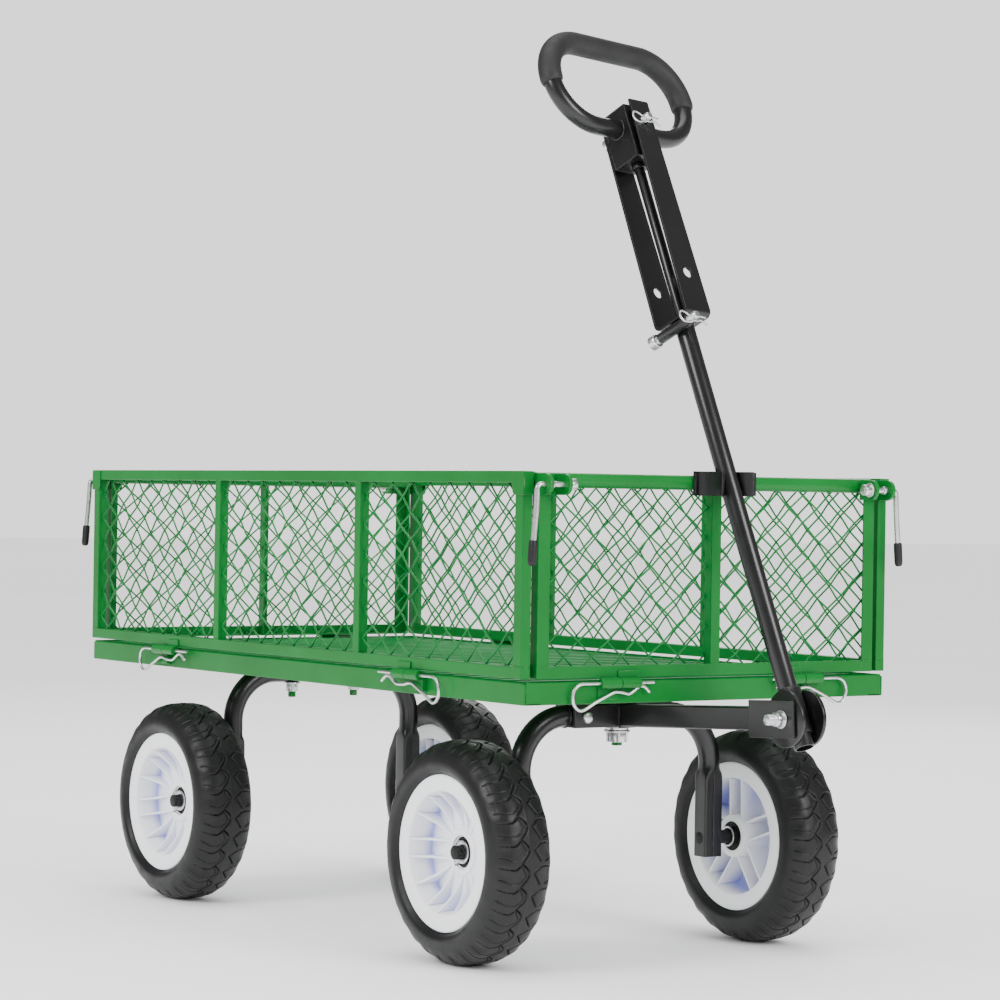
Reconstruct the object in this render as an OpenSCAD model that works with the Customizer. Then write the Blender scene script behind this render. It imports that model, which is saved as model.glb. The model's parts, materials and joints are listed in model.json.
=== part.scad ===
// Steel mesh garden cart with four folding-style mesh sides, steerable front
// axle, tilting tow handle and four flat-free wheels.
// Frame: +X towards the handle, +Y to the cart's left, +Z up.
// Origin: on the ground, under the middle of the bed.  Units: millimetres.

/* [Bed] */
// Length of the tray, front to rear
bed_length = 1016; // [1000:2:1040]
// Width of the tray
bed_width = 508; // [500:2:520]
// Height of the tray's underside above the ground
tray_bottom = 304; // [304:1:310]
// Height of the tray's side walls
tray_height = 25; // [24:1:26]
// Spacing of the deck's lengthwise wires
deck_wire_pitch = 12.7; // [12:0.1:20]
// Spacing of the deck's cross wires
deck_cross_pitch = 31.75; // [28:0.25:40]

/* [Panels] */
// Height of the panels' top edge above the ground
panel_top = 557; // [540:1:580]
// Depth and height of the panels' rails
rail = 13; // [12:0.5:14]
// Wall of the panels' tubes and angles
rail_wall = 1.5; // [1.2:0.1:2]
// Outside diameter of the end panels' round top rail
end_rail_d = 16.5; // [15:0.5:17]
// Width of one mesh diamond
mesh_pitch_x = 43; // [38:1:50]
// Height of one mesh diamond
mesh_pitch_z = 31.5; // [28:0.5:40]
// Diameter of the mesh wire
mesh_wire_d = 1.9; // [1.6:0.1:2]

/* [Wheels] */
// Outside diameter of the tyres
tyre_d = 254; // [254:1:256]
// Width of the tyres
tyre_width = 80; // [76:1:80]
// Diameter of the rims
rim_d = 178; // [176:1:180]
// Distance of each axle from the middle of the bed
axle_x = 333; // [325:1:340]
// Distance of each tyre's middle from the centreline
half_track = 208; // [207:1:208]
// Number of curved fins in the rim's dish
fin_count = 13; // [9:1:14]
// Diameter of the wheel spindles
spindle_d = 16; // [14:1:16]

/* [Axles and drawbar] */
// Diameter of the bent axle tubes
axle_tube_d = 25.4; // [24:0.2:26]
// Wall of the bent axle tubes
axle_tube_wall = 2; // [1.5:0.1:3]
// Upward tilt of the drawbar, in degrees
drawbar_tilt = 3; // [2:0.5:4]
// Diameter of the steering kingpin
kingpin_d = 16; // [14:1:16]

/* [Handle] */
// Backward lean of the parked handle, in degrees
park_lean = 25.8; // [25:0.1:26.5]
// Twist of the handle's head about the pole, in degrees
grip_twist = 8.3; // [0:0.1:9]
// Diameter of the handle's pole
pole_d = 22; // [21:0.5:22]
// Distance from the tilt pivot to the top of the pole
pole_length = 482.5; // [480:0.5:490]
// Diameter of the loop handle's tube
loop_tube_d = 21.5; // [20:0.5:22]
// Diameter of the foam grip
foam_d = 27; // [25:0.5:28]

/* [Hidden] */
$fn = 64;
// radial running clearance of every pin in its bore
fit = 0.05;
// half sizes of the tray
hx = bed_length / 2;
hy = bed_width / 2;
tray_top = tray_bottom + tray_height;
tray_wall = 2.5;
tray_flange = 22;
// side panels stand this far outside the tray
side_proud = 4;
side_out = hy + side_proud;
side_in = side_out - rail;
end_in = hx - rail;
panel_bottom = tray_top + 3.5;
// the panels are this much shorter than the tray at each end
side_hx = hx - 2;
post_w = 15;
mid_post_x = 167;
end_post_out = 238;
end_post_w = 16;
// end rail centre
end_rail_x = hx - 1 - end_rail_d / 2;
end_rail_z = panel_top - 1 - end_rail_d / 2;
// hinge pins
pin_axis_z = tray_top - 2.5;
pin_off = 6;
hairpin_r = 1.8;
barrel_r = 5.9;
barrel_len = 26.6;
leaf_t = 2;
// latches
latch_x = hx + 19;
latch_z = panel_top - 14;
lug_r = 11.5;
lever_r = 3.2;
// wheels
wheel_r = tyre_d / 2;
rim_r = rim_d / 2;
hub_r = 21;
bearing_r = 17.5;
bearing_w = 11;
hub_in = -35;
hub_out = 4.5;
// axles
arch_z = tray_bottom - 0.1 - axle_tube_d / 2;
bend_r = 62;
bend_y = 75;
leg_y = bend_y + bend_r;
leg_end_z = 105;
steer_top = 290.5;
steer_low = 264;
steer_mid = (steer_top + steer_low) / 2;
steer_front = axle_x + 20;
// handle
pivot_x = 659.1;
pivot_z = 293.3;
yoke_top = 764;
yoke_half = 27;
yoke_t = 3;
yoke_w = 40;
grip_s = 736;
loop_top_s = 847;
loop_half = 50.5;
loop_r = (loop_top_s - grip_s) / 2;
pin_s = 738;
low_hole_s = 536;
pin_r = 4.8;

// ---------------------------------------------------------------- helpers
// straight round bar from point a to point b
module bar(a, b, r, sides = 32) {
  d = b - a;
  len = norm(d);
  translate(a)
    rotate([0, acos(d[2] / len), atan2(d[1], d[0])])
      cylinder(h = len, r = r, $fn = sides);
}

// box between two corner points
module span(a, b) {
  translate(a)
    cube(b - a);
}

// round bar along +Y
module along_y(x, z, y0, y1, r, sides = 64) {
  translate([x, y0, z])
    rotate([-90, 0, 0])
      cylinder(h = y1 - y0, r = r, $fn = sides);
}

// round bar along +X
module along_x(y, z, x0, x1, r, sides = 64) {
  translate([x0, y, z])
    rotate([0, 90, 0])
      cylinder(h = x1 - x0, r = r, $fn = sides);
}

// square hollow bar along X
module tube_x(x0, x1, y0, y1, z0, z1, wall) {
  difference() {
    span([x0, y0, z0], [x1, y1, z1]);
    span([x0 - 1, y0 + wall, z0 + wall], [x1 + 1, y1 - wall, z1 - wall]);
  }
}

// a copy on each side of the plane y = 0
module both_sides() {
  children();
  mirror([0, 1, 0])
    children();
}

// a copy on each side of the plane x = 0
module both_ends() {
  children();
  mirror([1, 0, 0])
    children();
}

// ---------------------------------------------------------------- tray
module tray_profile() {
  square([tray_wall, tray_height - 2]);
  translate([-tray_flange + tray_wall, 0])
    square([tray_flange, tray_wall]);
  translate([tray_wall - 2, tray_height - 2])
    circle(r = 2);
}

module tray_rails() {
  color([0.1, 0.55, 0.25]) {
    both_sides()
      translate([-hx, hy - tray_wall, tray_bottom])
        rotate([90, 0, 90])
          linear_extrude(height = bed_length)
            tray_profile();
    both_ends()
      difference() {
        translate([hx - tray_wall, hy - tray_wall - 0.1, tray_bottom])
          rotate([90, 0, 0])
            linear_extrude(height = bed_width - 2 * tray_wall - 0.2)
              tray_profile();
        both_sides()
          span([hx - 40, hy - tray_flange - 0.1, tray_bottom - 1],
            [hx - tray_wall, hy, tray_bottom + tray_wall + 0.1]);
      }
  }
}

// one inverted channel across the tray, with a bolt hole of radius hole_r
module crossmember(x, width, holes, hole_r) {
  difference() {
    span([x - width / 2, -hy + tray_wall + 0.3, tray_bottom],
      [x + width / 2, hy - tray_wall - 0.3, tray_top - 6]);
    span([x - width / 2 + 2, -hy, tray_bottom + 2.5],
      [x + width / 2 - 2, hy, tray_top - 8]);
    for (y = [-1, 1])
      span([x - width, y > 0 ? hy - tray_flange - 0.3 : -hy, tray_bottom - 1],
        [x + width, y > 0 ? hy : -hy + tray_flange + 0.3, tray_bottom + tray_wall + 0.3]);
    for (y = holes)
      translate([x, y, tray_bottom - 1])
        cylinder(h = tray_height, r = hole_r);
  }
}

module tray_crossmembers() {
  color([0.1, 0.5, 0.22]) {
    crossmember(-axle_x, 44, [-48, 48], 5.1);
    crossmember(0, 30, [], 1);
    crossmember(axle_x, 60, [0], kingpin_d / 2 + fit);
  }
}

module deck_mesh() {
  wire_z = tray_top - 4.7;
  cross_z = wire_z + 1.1 + 0.1 + 1.5;
  n_long = floor((hy - 6) / deck_wire_pitch);
  n_cross = floor((hx - 8) / deck_cross_pitch);
  color([0.12, 0.5, 0.24]) {
    for (i = [-n_long : n_long])
      bar([-hx + 3, i * deck_wire_pitch, wire_z], [hx - 3, i * deck_wire_pitch, wire_z], 1.1, 8);
    for (i = [-n_cross : n_cross])
      bar([i * deck_cross_pitch, -hy + 4.4, cross_z], [i * deck_cross_pitch, hy - 4.4, cross_z],
        1.5, 8);
  }
}

// ---------------------------------------------------------------- hinges
// Local frame: hinge pin along +X at the origin, the panel on the -Y side, +Z up.
// leaf_face is how far the leaf's mounting face lies behind the pin.
module hinge_barrel(u0, up, leaf_face, reach) {
  difference() {
    union() {
      translate([u0, 0, 0])
        rotate([0, 90, 0])
          cylinder(h = barrel_len, r = barrel_r);
      translate([u0, -leaf_face, up ? 0 : -reach])
        cube([barrel_len, leaf_face - pin_off + leaf_t, reach]);
    }
    translate([u0 - 1, 0, 0])
      rotate([0, 90, 0])
        cylinder(h = barrel_len + 2, r = hairpin_r + fit);
  }
}

// wire hairpin: a straight leg through the barrels, an eye, and a wavy return leg
module hairpin(u_in, u_eye) {
  eye = 5.5;
  drop = 2 * eye;
  wave = [[u_eye, -drop], [u_eye - 30, -drop], [u_eye - 48, -drop - 3], [u_eye - 66, -drop + 2.2],
    [u_eye - 84, -drop - 3], [u_in + 6, -drop]];
  bar([u_in, 0, 0], [u_eye, 0, 0], hairpin_r);
  translate([u_eye, 0, -eye])
    rotate([90, 0, 0])
      rotate([0, 0, -90])
        rotate_extrude(angle = 180)
          translate([eye, 0])
            circle(r = hairpin_r);
  for (i = [0 : len(wave) - 2])
    bar([wave[i][0] + (i > 0 ? 0.6 : 0), 0, wave[i][1]],
      [wave[i + 1][0] - (i < len(wave) - 2 ? 0.6 : 0), 0, wave[i + 1][1]], hairpin_r);
}

// places a hinge item on the +Y side, at the front and at the rear
module on_side_hinges() {
  both_ends()
    translate([0, side_out + pin_off, pin_axis_z])
      children();
}

// places a hinge item on the +X end, on the left and on the right
module on_end_hinges() {
  both_sides()
    translate([hx + pin_off, 0, pin_axis_z])
      rotate([0, 0, 90])
        mirror([0, 1, 0])
          children();
}

side_u = 262;
end_u = 103;

module side_panel_hinges() {
  color([0.1, 0.55, 0.25])
    on_side_hinges()
      hinge_barrel(side_u, true, pin_off, 13);
}

module end_panel_hinges() {
  color([0.1, 0.55, 0.25])
    on_end_hinges()
      hinge_barrel(end_u, true, pin_off, 13);
}

module tray_hinges() {
  color([0.1, 0.55, 0.25]) {
    both_sides()
      on_side_hinges()
        hinge_barrel(side_u + barrel_len + 0.6, false, pin_off + side_proud, 18);
    both_ends()
      on_end_hinges()
        hinge_barrel(end_u + barrel_len + 0.6, false, pin_off, 18);
    end_panel_hinges();
  }
}

module hinge_hairpins() {
  color([0.75, 0.75, 0.78]) {
    both_sides()
      on_side_hinges()
        hairpin(side_u - 33, side_u + 83);
    both_ends()
      on_end_hinges()
        hairpin(end_u - 19, end_u + 80);
  }
}

// ---------------------------------------------------------------- mesh
// Diamond mesh in the XZ plane around y = 0, as two layers of slanting wires.
module diamond_mesh(x0, x1, z0, z1) {
  r = mesh_wire_d / 2;
  slope = mesh_pitch_z / mesh_pitch_x;
  gap = r;
  xa = x0 + gap;
  xb = x1 - gap;
  za = z0 + gap;
  zb = z1 - gap;
  rise = zb - za;
  run = rise / slope;
  count = ceil((xb - xa + run) / mesh_pitch_x);
  for (i = [1 : count]) {
    xs = xa - run + i * mesh_pitch_x - mesh_pitch_x / 3;
    u0 = max(xa, xs);
    u1 = min(xb, xs + run);
    if (u1 - u0 > 3) {
      w0 = za + (u0 - xs) * slope;
      w1 = za + (u1 - xs) * slope;
      bar([u0, -r - 0.03, w0], [u1, -r - 0.03, w1], r, 6);
      bar([u0, r + 0.03, zb - (w0 - za)], [u1, r + 0.03, zb - (w1 - za)], r, 6);
    }
  }
}

// ---------------------------------------------------------------- side panels
// Frame of the +Y side panel
module side_panel_frame() {
  top = panel_top - rail;
  low = panel_bottom + rail;
  tube_x(-side_hx, side_hx, side_in, side_out, top, panel_top, rail_wall);
  tube_x(-side_hx, side_hx, side_in, side_out, panel_bottom, low, rail_wall);
  both_ends() {
    difference() {
      span([side_hx - post_w, side_in, low - 0.2], [side_hx, side_out, top + 0.2]);
      span([side_hx - post_w + rail_wall, side_in + rail_wall, low - 1],
        [side_hx - rail_wall, side_out - rail_wall, top + 1]);
    }
    // corner plate, wrapped round the end of the top rail
    difference() {
      span([side_hx - 19, side_out - 0.3, panel_top - 26], [side_hx + 3, side_out + 1.5, panel_top]);
      translate([side_hx - 19, side_out - 1, panel_top - 26])
        rotate([0, 45, 0])
          cube([6, 4, 6], center = true);
    }
    span([side_hx - 0.3, side_in, panel_top - 26], [side_hx + 3, side_out, panel_top]);
  }
  for (x = [-mid_post_x, mid_post_x]) {
    span([x - rail / 2, side_out - 2, low - 0.2], [x + rail / 2, side_out, top + 0.2]);
    span([x + rail / 2 - 2, side_in, low - 0.2], [x + rail / 2, side_out, top + 0.2]);
  }
}

// Mesh of the +Y side panel, three bays
module side_panel_mesh() {
  top = panel_top - rail;
  low = panel_bottom + rail;
  flange = rail / 2;
  translate([0, side_out - rail / 2, 0]) {
    diamond_mesh(-side_hx + post_w, -mid_post_x + flange - 2, low, top);
    diamond_mesh(-mid_post_x + flange, mid_post_x + flange - 2, low, top);
    diamond_mesh(mid_post_x + flange, side_hx - post_w, low, top);
  }
}

module left_panel_frame() {
  color([0.1, 0.58, 0.25])
    side_panel_frame();
}

module left_panel_mesh() {
  color([0.12, 0.6, 0.28])
    side_panel_mesh();
}

module left_panel_hinges() {
  side_panel_hinges();
}

module right_panel_frame() {
  color([0.1, 0.58, 0.25])
    mirror([0, 1, 0])
      side_panel_frame();
}

module right_panel_mesh() {
  color([0.12, 0.6, 0.28])
    mirror([0, 1, 0])
      side_panel_mesh();
}

module right_panel_hinges() {
  mirror([0, 1, 0])
    side_panel_hinges();
}

// ---------------------------------------------------------------- end panels
// Frame of the +X end panel
module end_panel_frame() {
  low = panel_bottom;
  // round top rail
  difference() {
    along_y(end_rail_x, end_rail_z, -end_post_out, end_post_out, end_rail_d / 2);
    along_y(end_rail_x, end_rail_z, -end_post_out - 1, end_post_out + 1,
      end_rail_d / 2 - rail_wall);
  }
  difference() {
    union() {
      // bottom angle
      span([hx - 2, -end_post_out, low], [hx, end_post_out, low + rail]);
      span([end_in, -end_post_out, low], [hx, end_post_out, low + 2]);
      // end posts, angles with a leg on the outer edge
      both_sides() {
        span([hx - 2, end_post_out - end_post_w, low], [hx, end_post_out, panel_top - 6]);
        span([end_in, end_post_out - 2, low], [hx, end_post_out, panel_top - 6]);
      }
      // centre post, an angle
      span([hx - 2, -0.5, low], [hx, 12.5, end_rail_z]);
      span([end_in, -0.5, low], [hx, 1.5, end_rail_z]);
    }
    along_y(end_rail_x, end_rail_z, -end_post_out - 1, end_post_out + 1,
      end_rail_d / 2 - rail_wall / 2);
  }
}

// Mesh of the +X end panel, two bays
module end_panel_mesh() {
  low = panel_bottom + 2;
  top = end_rail_z - end_rail_d / 2 + 0.3;
  translate([end_rail_x, 0, 0])
    rotate([0, 0, 90]) {
      diamond_mesh(-end_post_out + 2, -0.5, low, top);
      diamond_mesh(1.5, end_post_out - 2, low, top);
    }
}

// Two lugs on one plate, +X +Y corner
module latch_bracket() {
  for (y = [215, 239.6])
    difference() {
      union() {
        along_y(latch_x, latch_z, y, y + 4, lug_r);
        span([hx + 2, y, latch_z - lug_r], [latch_x, y + 4, latch_z + lug_r]);
      }
      along_y(latch_x, latch_z, y - 1, y + 5, lever_r + fit);
    }
  span([hx, 215, latch_z - lug_r], [hx + 3, 243.6, latch_z + lug_r]);
}

// Lever of the +X +Y latch: pin, elbow and hanging leg
module latch_lever() {
  elbow = 6;
  along_y(latch_x, latch_z, 203, 248, lever_r);
  along_y(latch_x, latch_z, 204, 213, 6.6, 6);
  along_y(latch_x, latch_z, 212.5, 214.6, 8.5);
  translate([latch_x, 248, latch_z - elbow])
    rotate([90, 0, 90])
      rotate_extrude(angle = 90)
        translate([elbow, 0])
          circle(r = lever_r);
  bar([latch_x, 254, latch_z - elbow], [latch_x, 258, latch_z - 61], lever_r);
  translate([latch_x, 254, latch_z - elbow])
    sphere(r = lever_r, $fn = 32);
}

module latch_tip() {
  bar([latch_x, 258, latch_z - 61.1], [latch_x, 260, latch_z - 88], 5);
}

module front_panel_frame() {
  color([0.1, 0.58, 0.25])
    end_panel_frame();
}

module front_panel_mesh() {
  color([0.12, 0.6, 0.28])
    end_panel_mesh();
}

module front_latch_brackets() {
  color([0.1, 0.55, 0.25])
    both_sides()
      latch_bracket();
}

module rear_panel_frame() {
  color([0.1, 0.58, 0.25])
    mirror([1, 0, 0])
      end_panel_frame();
}

module rear_panel_mesh() {
  color([0.12, 0.6, 0.28])
    mirror([1, 0, 0])
      end_panel_mesh();
}

module rear_panel_hinges() {
  mirror([1, 0, 0])
    end_panel_hinges();
}

module rear_latch_brackets() {
  color([0.1, 0.55, 0.25])
    mirror([1, 0, 0])
      both_sides()
        latch_bracket();
}

module front_left_latch_lever() {
  color([0.7, 0.7, 0.72])
    latch_lever();
}

module front_left_latch_tip() {
  color([0.08, 0.08, 0.08])
    latch_tip();
}

module front_right_latch_lever() {
  color([0.7, 0.7, 0.72])
    mirror([0, 1, 0])
      latch_lever();
}

module front_right_latch_tip() {
  color([0.08, 0.08, 0.08])
    mirror([0, 1, 0])
      latch_tip();
}

module rear_left_latch_lever() {
  color([0.7, 0.7, 0.72])
    mirror([1, 0, 0])
      latch_lever();
}

module rear_left_latch_tip() {
  color([0.08, 0.08, 0.08])
    mirror([1, 0, 0])
      latch_tip();
}

module rear_right_latch_lever() {
  color([0.7, 0.7, 0.72])
    mirror([1, 0, 0])
      mirror([0, 1, 0])
        latch_lever();
}

module rear_right_latch_tip() {
  color([0.08, 0.08, 0.08])
    mirror([1, 0, 0])
      mirror([0, 1, 0])
        latch_tip();
}

// Spring clip on the front rail, its jaws open towards the handle
module pole_clip() {
  jaw = pole_d / 2 + 0.6;
  color([0.06, 0.06, 0.06])
    difference() {
      union() {
        span([hx, -29, 533], [hx + 2, 29, 561]);
        span([hx, -jaw - 2, 533], [543, -jaw, 561]);
        span([hx, jaw, 533], [543, jaw + 2, 561]);
        span([541, jaw, 533], [543, 51, 561]);
      }
      translate([pivot_x, 0, pivot_z])
        rotate([0, -park_lean, 0])
          translate([0, 0, 200])
            cylinder(h = 160, r = pole_d / 2 + 0.4);
    }
}

// ---------------------------------------------------------------- axles
// Tube bend in the YZ plane: from (bend_y, z) round to (leg_y, z - bend_r)
module axle_bend(z, r) {
  translate([0, bend_y, z - bend_r])
    rotate([90, 0, 90])
      rotate_extrude(angle = 90)
        translate([bend_r, 0])
          circle(r = r);
}

// One leg with its squared foot, at the plane x = 0, +Y side
module axle_leg(z) {
  r = axle_tube_d / 2;
  knee = z - bend_r;
  translate([0, leg_y, 160])
    cylinder(h = knee - 160, r = r);
  difference() {
    span([-11, leg_y - 13, leg_end_z], [11, leg_y + 13, 168]);
    translate([0, leg_y - 14, wheel_r])
      rotate([-90, 0, 0])
        cylinder(h = 28, r = spindle_d / 2);
  }
}

module rear_axle_arch() {
  r = axle_tube_d / 2;
  color([0.08, 0.08, 0.08])
    translate([-axle_x, 0, 0])
      difference() {
        union() {
          along_y(0, arch_z, -bend_y, bend_y, r);
          both_sides() {
            axle_bend(arch_z, r);
            axle_leg(arch_z);
          }
        }
        along_y(0, arch_z, -bend_y, bend_y, r - axle_tube_wall);
        both_sides() {
          axle_bend(arch_z, r - axle_tube_wall);
          translate([0, leg_y, 172])
            cylinder(h = arch_z - bend_r - 172, r = r - axle_tube_wall);
        }
        for (y = [-48, 48])
          translate([0, y, arch_z - r - 1])
            cylinder(h = 2 * r + 2, r = 5.05);
      }
}

// Spindle, shoulder collar, washer and split pin of one wheel, +Y side, x = 0
module spindle() {
  r = spindle_d / 2;
  difference() {
    union() {
      along_y(0, wheel_r, leg_y - 13, 226, r);
      along_y(0, wheel_r, leg_y + 13, half_track + hub_in - 0.5, 13);
    }
    translate([0, 219, wheel_r - 10])
      cylinder(h = 20, r = 1.6);
  }
  along_y_washer();
  translate([0, 219, wheel_r - 15])
    cylinder(h = 30, r = 1.55);
}

module along_y_washer() {
  difference() {
    along_y(0, wheel_r, half_track + hub_out + 0.5, half_track + hub_out + 3, 15);
    along_y(0, wheel_r, half_track + hub_out, half_track + hub_out + 4, spindle_d / 2 + 0.1);
  }
}

module rear_spindles() {
  color([0.55, 0.55, 0.56])
    translate([-axle_x, 0, 0])
      both_sides()
        spindle();
}

// Bolt along Z with a hexagon nut and a flange, top at z1
module clamp_bolt(x, y, z0, z1, r, nut0, nut1, nut_r) {
  translate([x, y, z0])
    cylinder(h = z1 - z0, r = r);
  translate([x, y, nut0])
    cylinder(h = nut1 - nut0, r = nut_r, $fn = 6);
  translate([x, y, nut1 - 2])
    cylinder(h = 2, r = nut_r + 2);
}

module rear_axle_bolts() {
  low = arch_z - axle_tube_d / 2;
  color([0.75, 0.75, 0.78])
    both_sides() {
      clamp_bolt(-axle_x, 48, low - 20, tray_top - 6, 5, low - 14, low, 8.5);
    }
}

module kingpin() {
  r = kingpin_d / 2;
  color([0.72, 0.72, 0.75]) {
    translate([axle_x, 0, 245])
      cylinder(h = tray_top - 6 - 245, r = r);
    translate([axle_x, 0, 241])
      cylinder(h = 5, r = 6);
    translate([axle_x, 0, 245])
      cylinder(h = 12, r = 13.5, $fn = 6);
    translate([axle_x, 0, 257])
      cylinder(h = 6.6, r = 19);
  }
}

module kingpin_spacer() {
  color([0.1, 0.1, 0.1])
    difference() {
      translate([axle_x, 0, steer_top + 0.4])
        cylinder(h = tray_bottom - steer_top - 0.4, r = 24);
      translate([axle_x, 0, steer_top - 1])
        cylinder(h = 20, r = kingpin_d / 2 + fit);
    }
}

// ---------------------------------------------------------------- steering
module steer_bracket() {
  color([0.08, 0.08, 0.08])
    difference() {
      span([axle_x - 20, -bend_y, steer_low], [steer_front, bend_y, steer_top]);
      span([axle_x - 17, -bend_y + 3, steer_low + 3], [steer_front - 3, -12, steer_top - 3]);
      span([axle_x - 17, 12, steer_low + 3], [steer_front - 3, bend_y - 3, steer_top - 3]);
      translate([axle_x, 0, steer_low - 1])
        cylinder(h = steer_top - steer_low + 2, r = kingpin_d / 2 + fit);
      for (y = [-57, 57])
        along_x(y, steer_mid - 1, axle_x - 30, steer_front + 10, 4.05);
    }
}

module front_axle_arms() {
  r = axle_tube_d / 2;
  color([0.08, 0.08, 0.08])
    translate([axle_x, 0, 0])
      both_sides()
        difference() {
          union() {
            axle_bend(steer_mid, r);
            axle_leg(steer_mid);
          }
          axle_bend(steer_mid, r - axle_tube_wall);
          translate([0, leg_y, 172])
            cylinder(h = steer_mid - bend_r - 172, r = r - axle_tube_wall);
        }
}

module front_spindles() {
  color([0.55, 0.55, 0.56])
    translate([axle_x, 0, 0])
      both_sides()
        spindle();
}

// Two bolts through the bracket and the cross bolt of the handle pivot
module steer_bolts() {
  color([0.75, 0.75, 0.78]) {
    for (y = [-57, 57]) {
      along_x(y, steer_mid - 1, axle_x - 26, steer_front + 1, 4);
      along_x(y, steer_mid - 1, steer_front, steer_front + 4, 6.8);
      along_x(y, steer_mid - 1, axle_x - 26, axle_x - 20, 7, 6);
    }
    along_y(pivot_x, pivot_z, -41.5, 30, 6);
    along_y(pivot_x, pivot_z, -31, -22, 10.4, 6);
    along_y(pivot_x, pivot_z, -22.5, -20.5, 12);
    along_y(pivot_x, pivot_z, 20.5, 22.5, 12);
    along_y(pivot_x, pivot_z, 22, 30, 10.4, 6);
  }
}

// places children in the drawbar's frame: origin on the pivot, +X along the bar
module on_drawbar() {
  translate([pivot_x, 0, pivot_z])
    rotate([0, -drawbar_tilt, 0])
      children();
}

module drawbar() {
  bar_back = (pivot_x - steer_front) / cos(drawbar_tilt);
  color([0.08, 0.08, 0.08])
    difference() {
      on_drawbar()
        difference() {
          span([-bar_back - 2, -12.5, -13], [-52, 12.5, 13]);
          span([-bar_back - 3, -10.5, -11], [-51, 10.5, 11]);
        }
      span([steer_front - 40, -20, 240], [steer_front, 20, 320]);
    }
}

module clevis_plates() {
  color([0.08, 0.08, 0.08])
    on_drawbar()
      both_sides()
        difference() {
          union() {
            span([-57, 17.5, -20.5], [0, 20.5, 20.5]);
            along_y(0, 0, 17.5, 20.5, 20.5);
            span([-57, 12.5, -13], [-40, 17.5, 13]);
          }
          along_y(0, 0, 10, 25, 6 + fit);
        }
}

// ---------------------------------------------------------------- handle
// places children in the pole's frame: origin on the pivot, +Z up the pole
module on_pole() {
  translate([pivot_x, 0, pivot_z])
    rotate([0, -park_lean, 0])
      children();
}

// places children in the head's frame: +X forward, +Y across, +Z up the pole
module on_head() {
  on_pole()
    rotate([0, 0, grip_twist])
      children();
}

module pole_tube() {
  color([0.08, 0.08, 0.08])
    on_pole()
      difference() {
        translate([0, 0, -34])
          cylinder(h = pole_length + 34, r = pole_d / 2);
        translate([0, 0, -35])
          cylinder(h = pole_length + 36, r = pole_d / 2 - 1.5);
        along_y(0, 0, -20, 20, 6 + fit);
      }
}

// Sleeve round the foot of the pole with a round cheek on each side
module pivot_socket() {
  sleeve_r = 14;
  color([0.08, 0.08, 0.08])
    on_pole()
      difference() {
        union() {
          translate([0, 0, -19])
            cylinder(h = 52, r = sleeve_r);
          both_sides()
            along_y(0, 0, 12.5, 17, 31);
        }
        translate([0, 0, -32])
          cylinder(h = 70, r = pole_d / 2 + fit);
        along_y(0, 0, -20, 20, 6 + fit);
      }
}

module tow_yoke() {
  bend = 8;
  sleeve_s = pole_length - 7.9;
  color([0.1, 0.1, 0.1])
    on_head() {
      difference() {
        translate([0, yoke_w / 2, 0])
          rotate([90, 0, 0])
            linear_extrude(height = yoke_w)
              yoke_outline(bend);
        for (s = [low_hole_s, pin_s])
          along_x(0, s, -yoke_half - 1, yoke_half + 1, 6.3);
        translate([0, 0, pole_length - 1])
          cylinder(h = 6, r = 6.2);
        for (m = [-1, 1])
          for (x = [-1, 1])
            translate([x * yoke_half, m * yoke_w / 2, yoke_top])
              rotate([45, 0, 0])
                cube([20, 9, 9], center = true);
      }
      difference() {
        along_x(-17.2, sleeve_s, -24, 24, 6.5);
        along_x(-17.2, sleeve_s, -25, 25, pin_r + fit);
      }
    }
}

// U outline of the yoke strap, in the plane of its bends
module yoke_outline(bend) {
  inner = bend - yoke_t;
  difference() {
    union() {
      translate([-yoke_half + bend, pole_length])
        square([2 * (yoke_half - bend), yoke_t]);
      for (x = [-1, 1]) {
        translate([x * (yoke_half - bend), pole_length + bend])
          circle(r = bend);
        translate([x * (yoke_half - yoke_t / 2) - yoke_t / 2, pole_length + bend])
          square([yoke_t, yoke_top - pole_length - bend]);
      }
    }
    for (x = [-1, 1])
      translate([x * (yoke_half - bend), pole_length + bend])
        circle(r = inner);
    translate([-yoke_half + bend, pole_length + yoke_t])
      square([2 * (yoke_half - bend), 40]);
    translate([-yoke_half + yoke_t, pole_length + bend])
      square([2 * (yoke_half - yoke_t), 40]);
  }
}

// Clevis pin along the head's X axis at height s and offset a
module hitch_pin(a, s) {
  difference() {
    along_x(a, s, -36, 38, pin_r);
    bar([33.5, a - 10, s], [33.5, a + 10, s], 1.3);
  }
  along_x(a, s, -38, -28.2, 8.5);
}

module hitch_pins() {
  color([0.75, 0.75, 0.78])
    on_head() {
      hitch_pin(-17.2, pole_length - 7.9);
      hitch_pin(0, pin_s);
    }
}

// Round spring clip through the end of a pin
module hitch_clip(a, s) {
  x = 33.5;
  bar([x, a - 14, s], [x, a + 12, s], 1.25);
  translate([x, a + 12, s - 7])
    rotate([90, 0, 90])
      rotate([0, 0, -90])
        rotate_extrude(angle = 180)
          translate([7, 0])
            circle(r = 1.25);
  bar([x, a + 12, s - 14], [x, a - 12, s - 9], 1.25);
}

module hitch_clips() {
  color([0.65, 0.65, 0.67])
    on_head() {
      hitch_clip(-17.2, pole_length - 7.9);
      hitch_clip(0, pin_s);
    }
}

module slide_rod() {
  color([0.08, 0.08, 0.08])
    on_head() {
      translate([0, 0, 440])
        cylinder(h = 249, r = 6);
      translate([0, 0, 686])
        cylinder(h = 6, r = 8);
    }
}

module handle_block() {
  color([0.08, 0.08, 0.08])
    on_head()
      difference() {
        span([-20, -19, 692], [20, 19, 760]);
        along_y(0, grip_s, -20, 20, loop_tube_d / 2);
        along_x(0, pin_s, -21, 21, pin_r + 0.1);
      }
}

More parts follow.
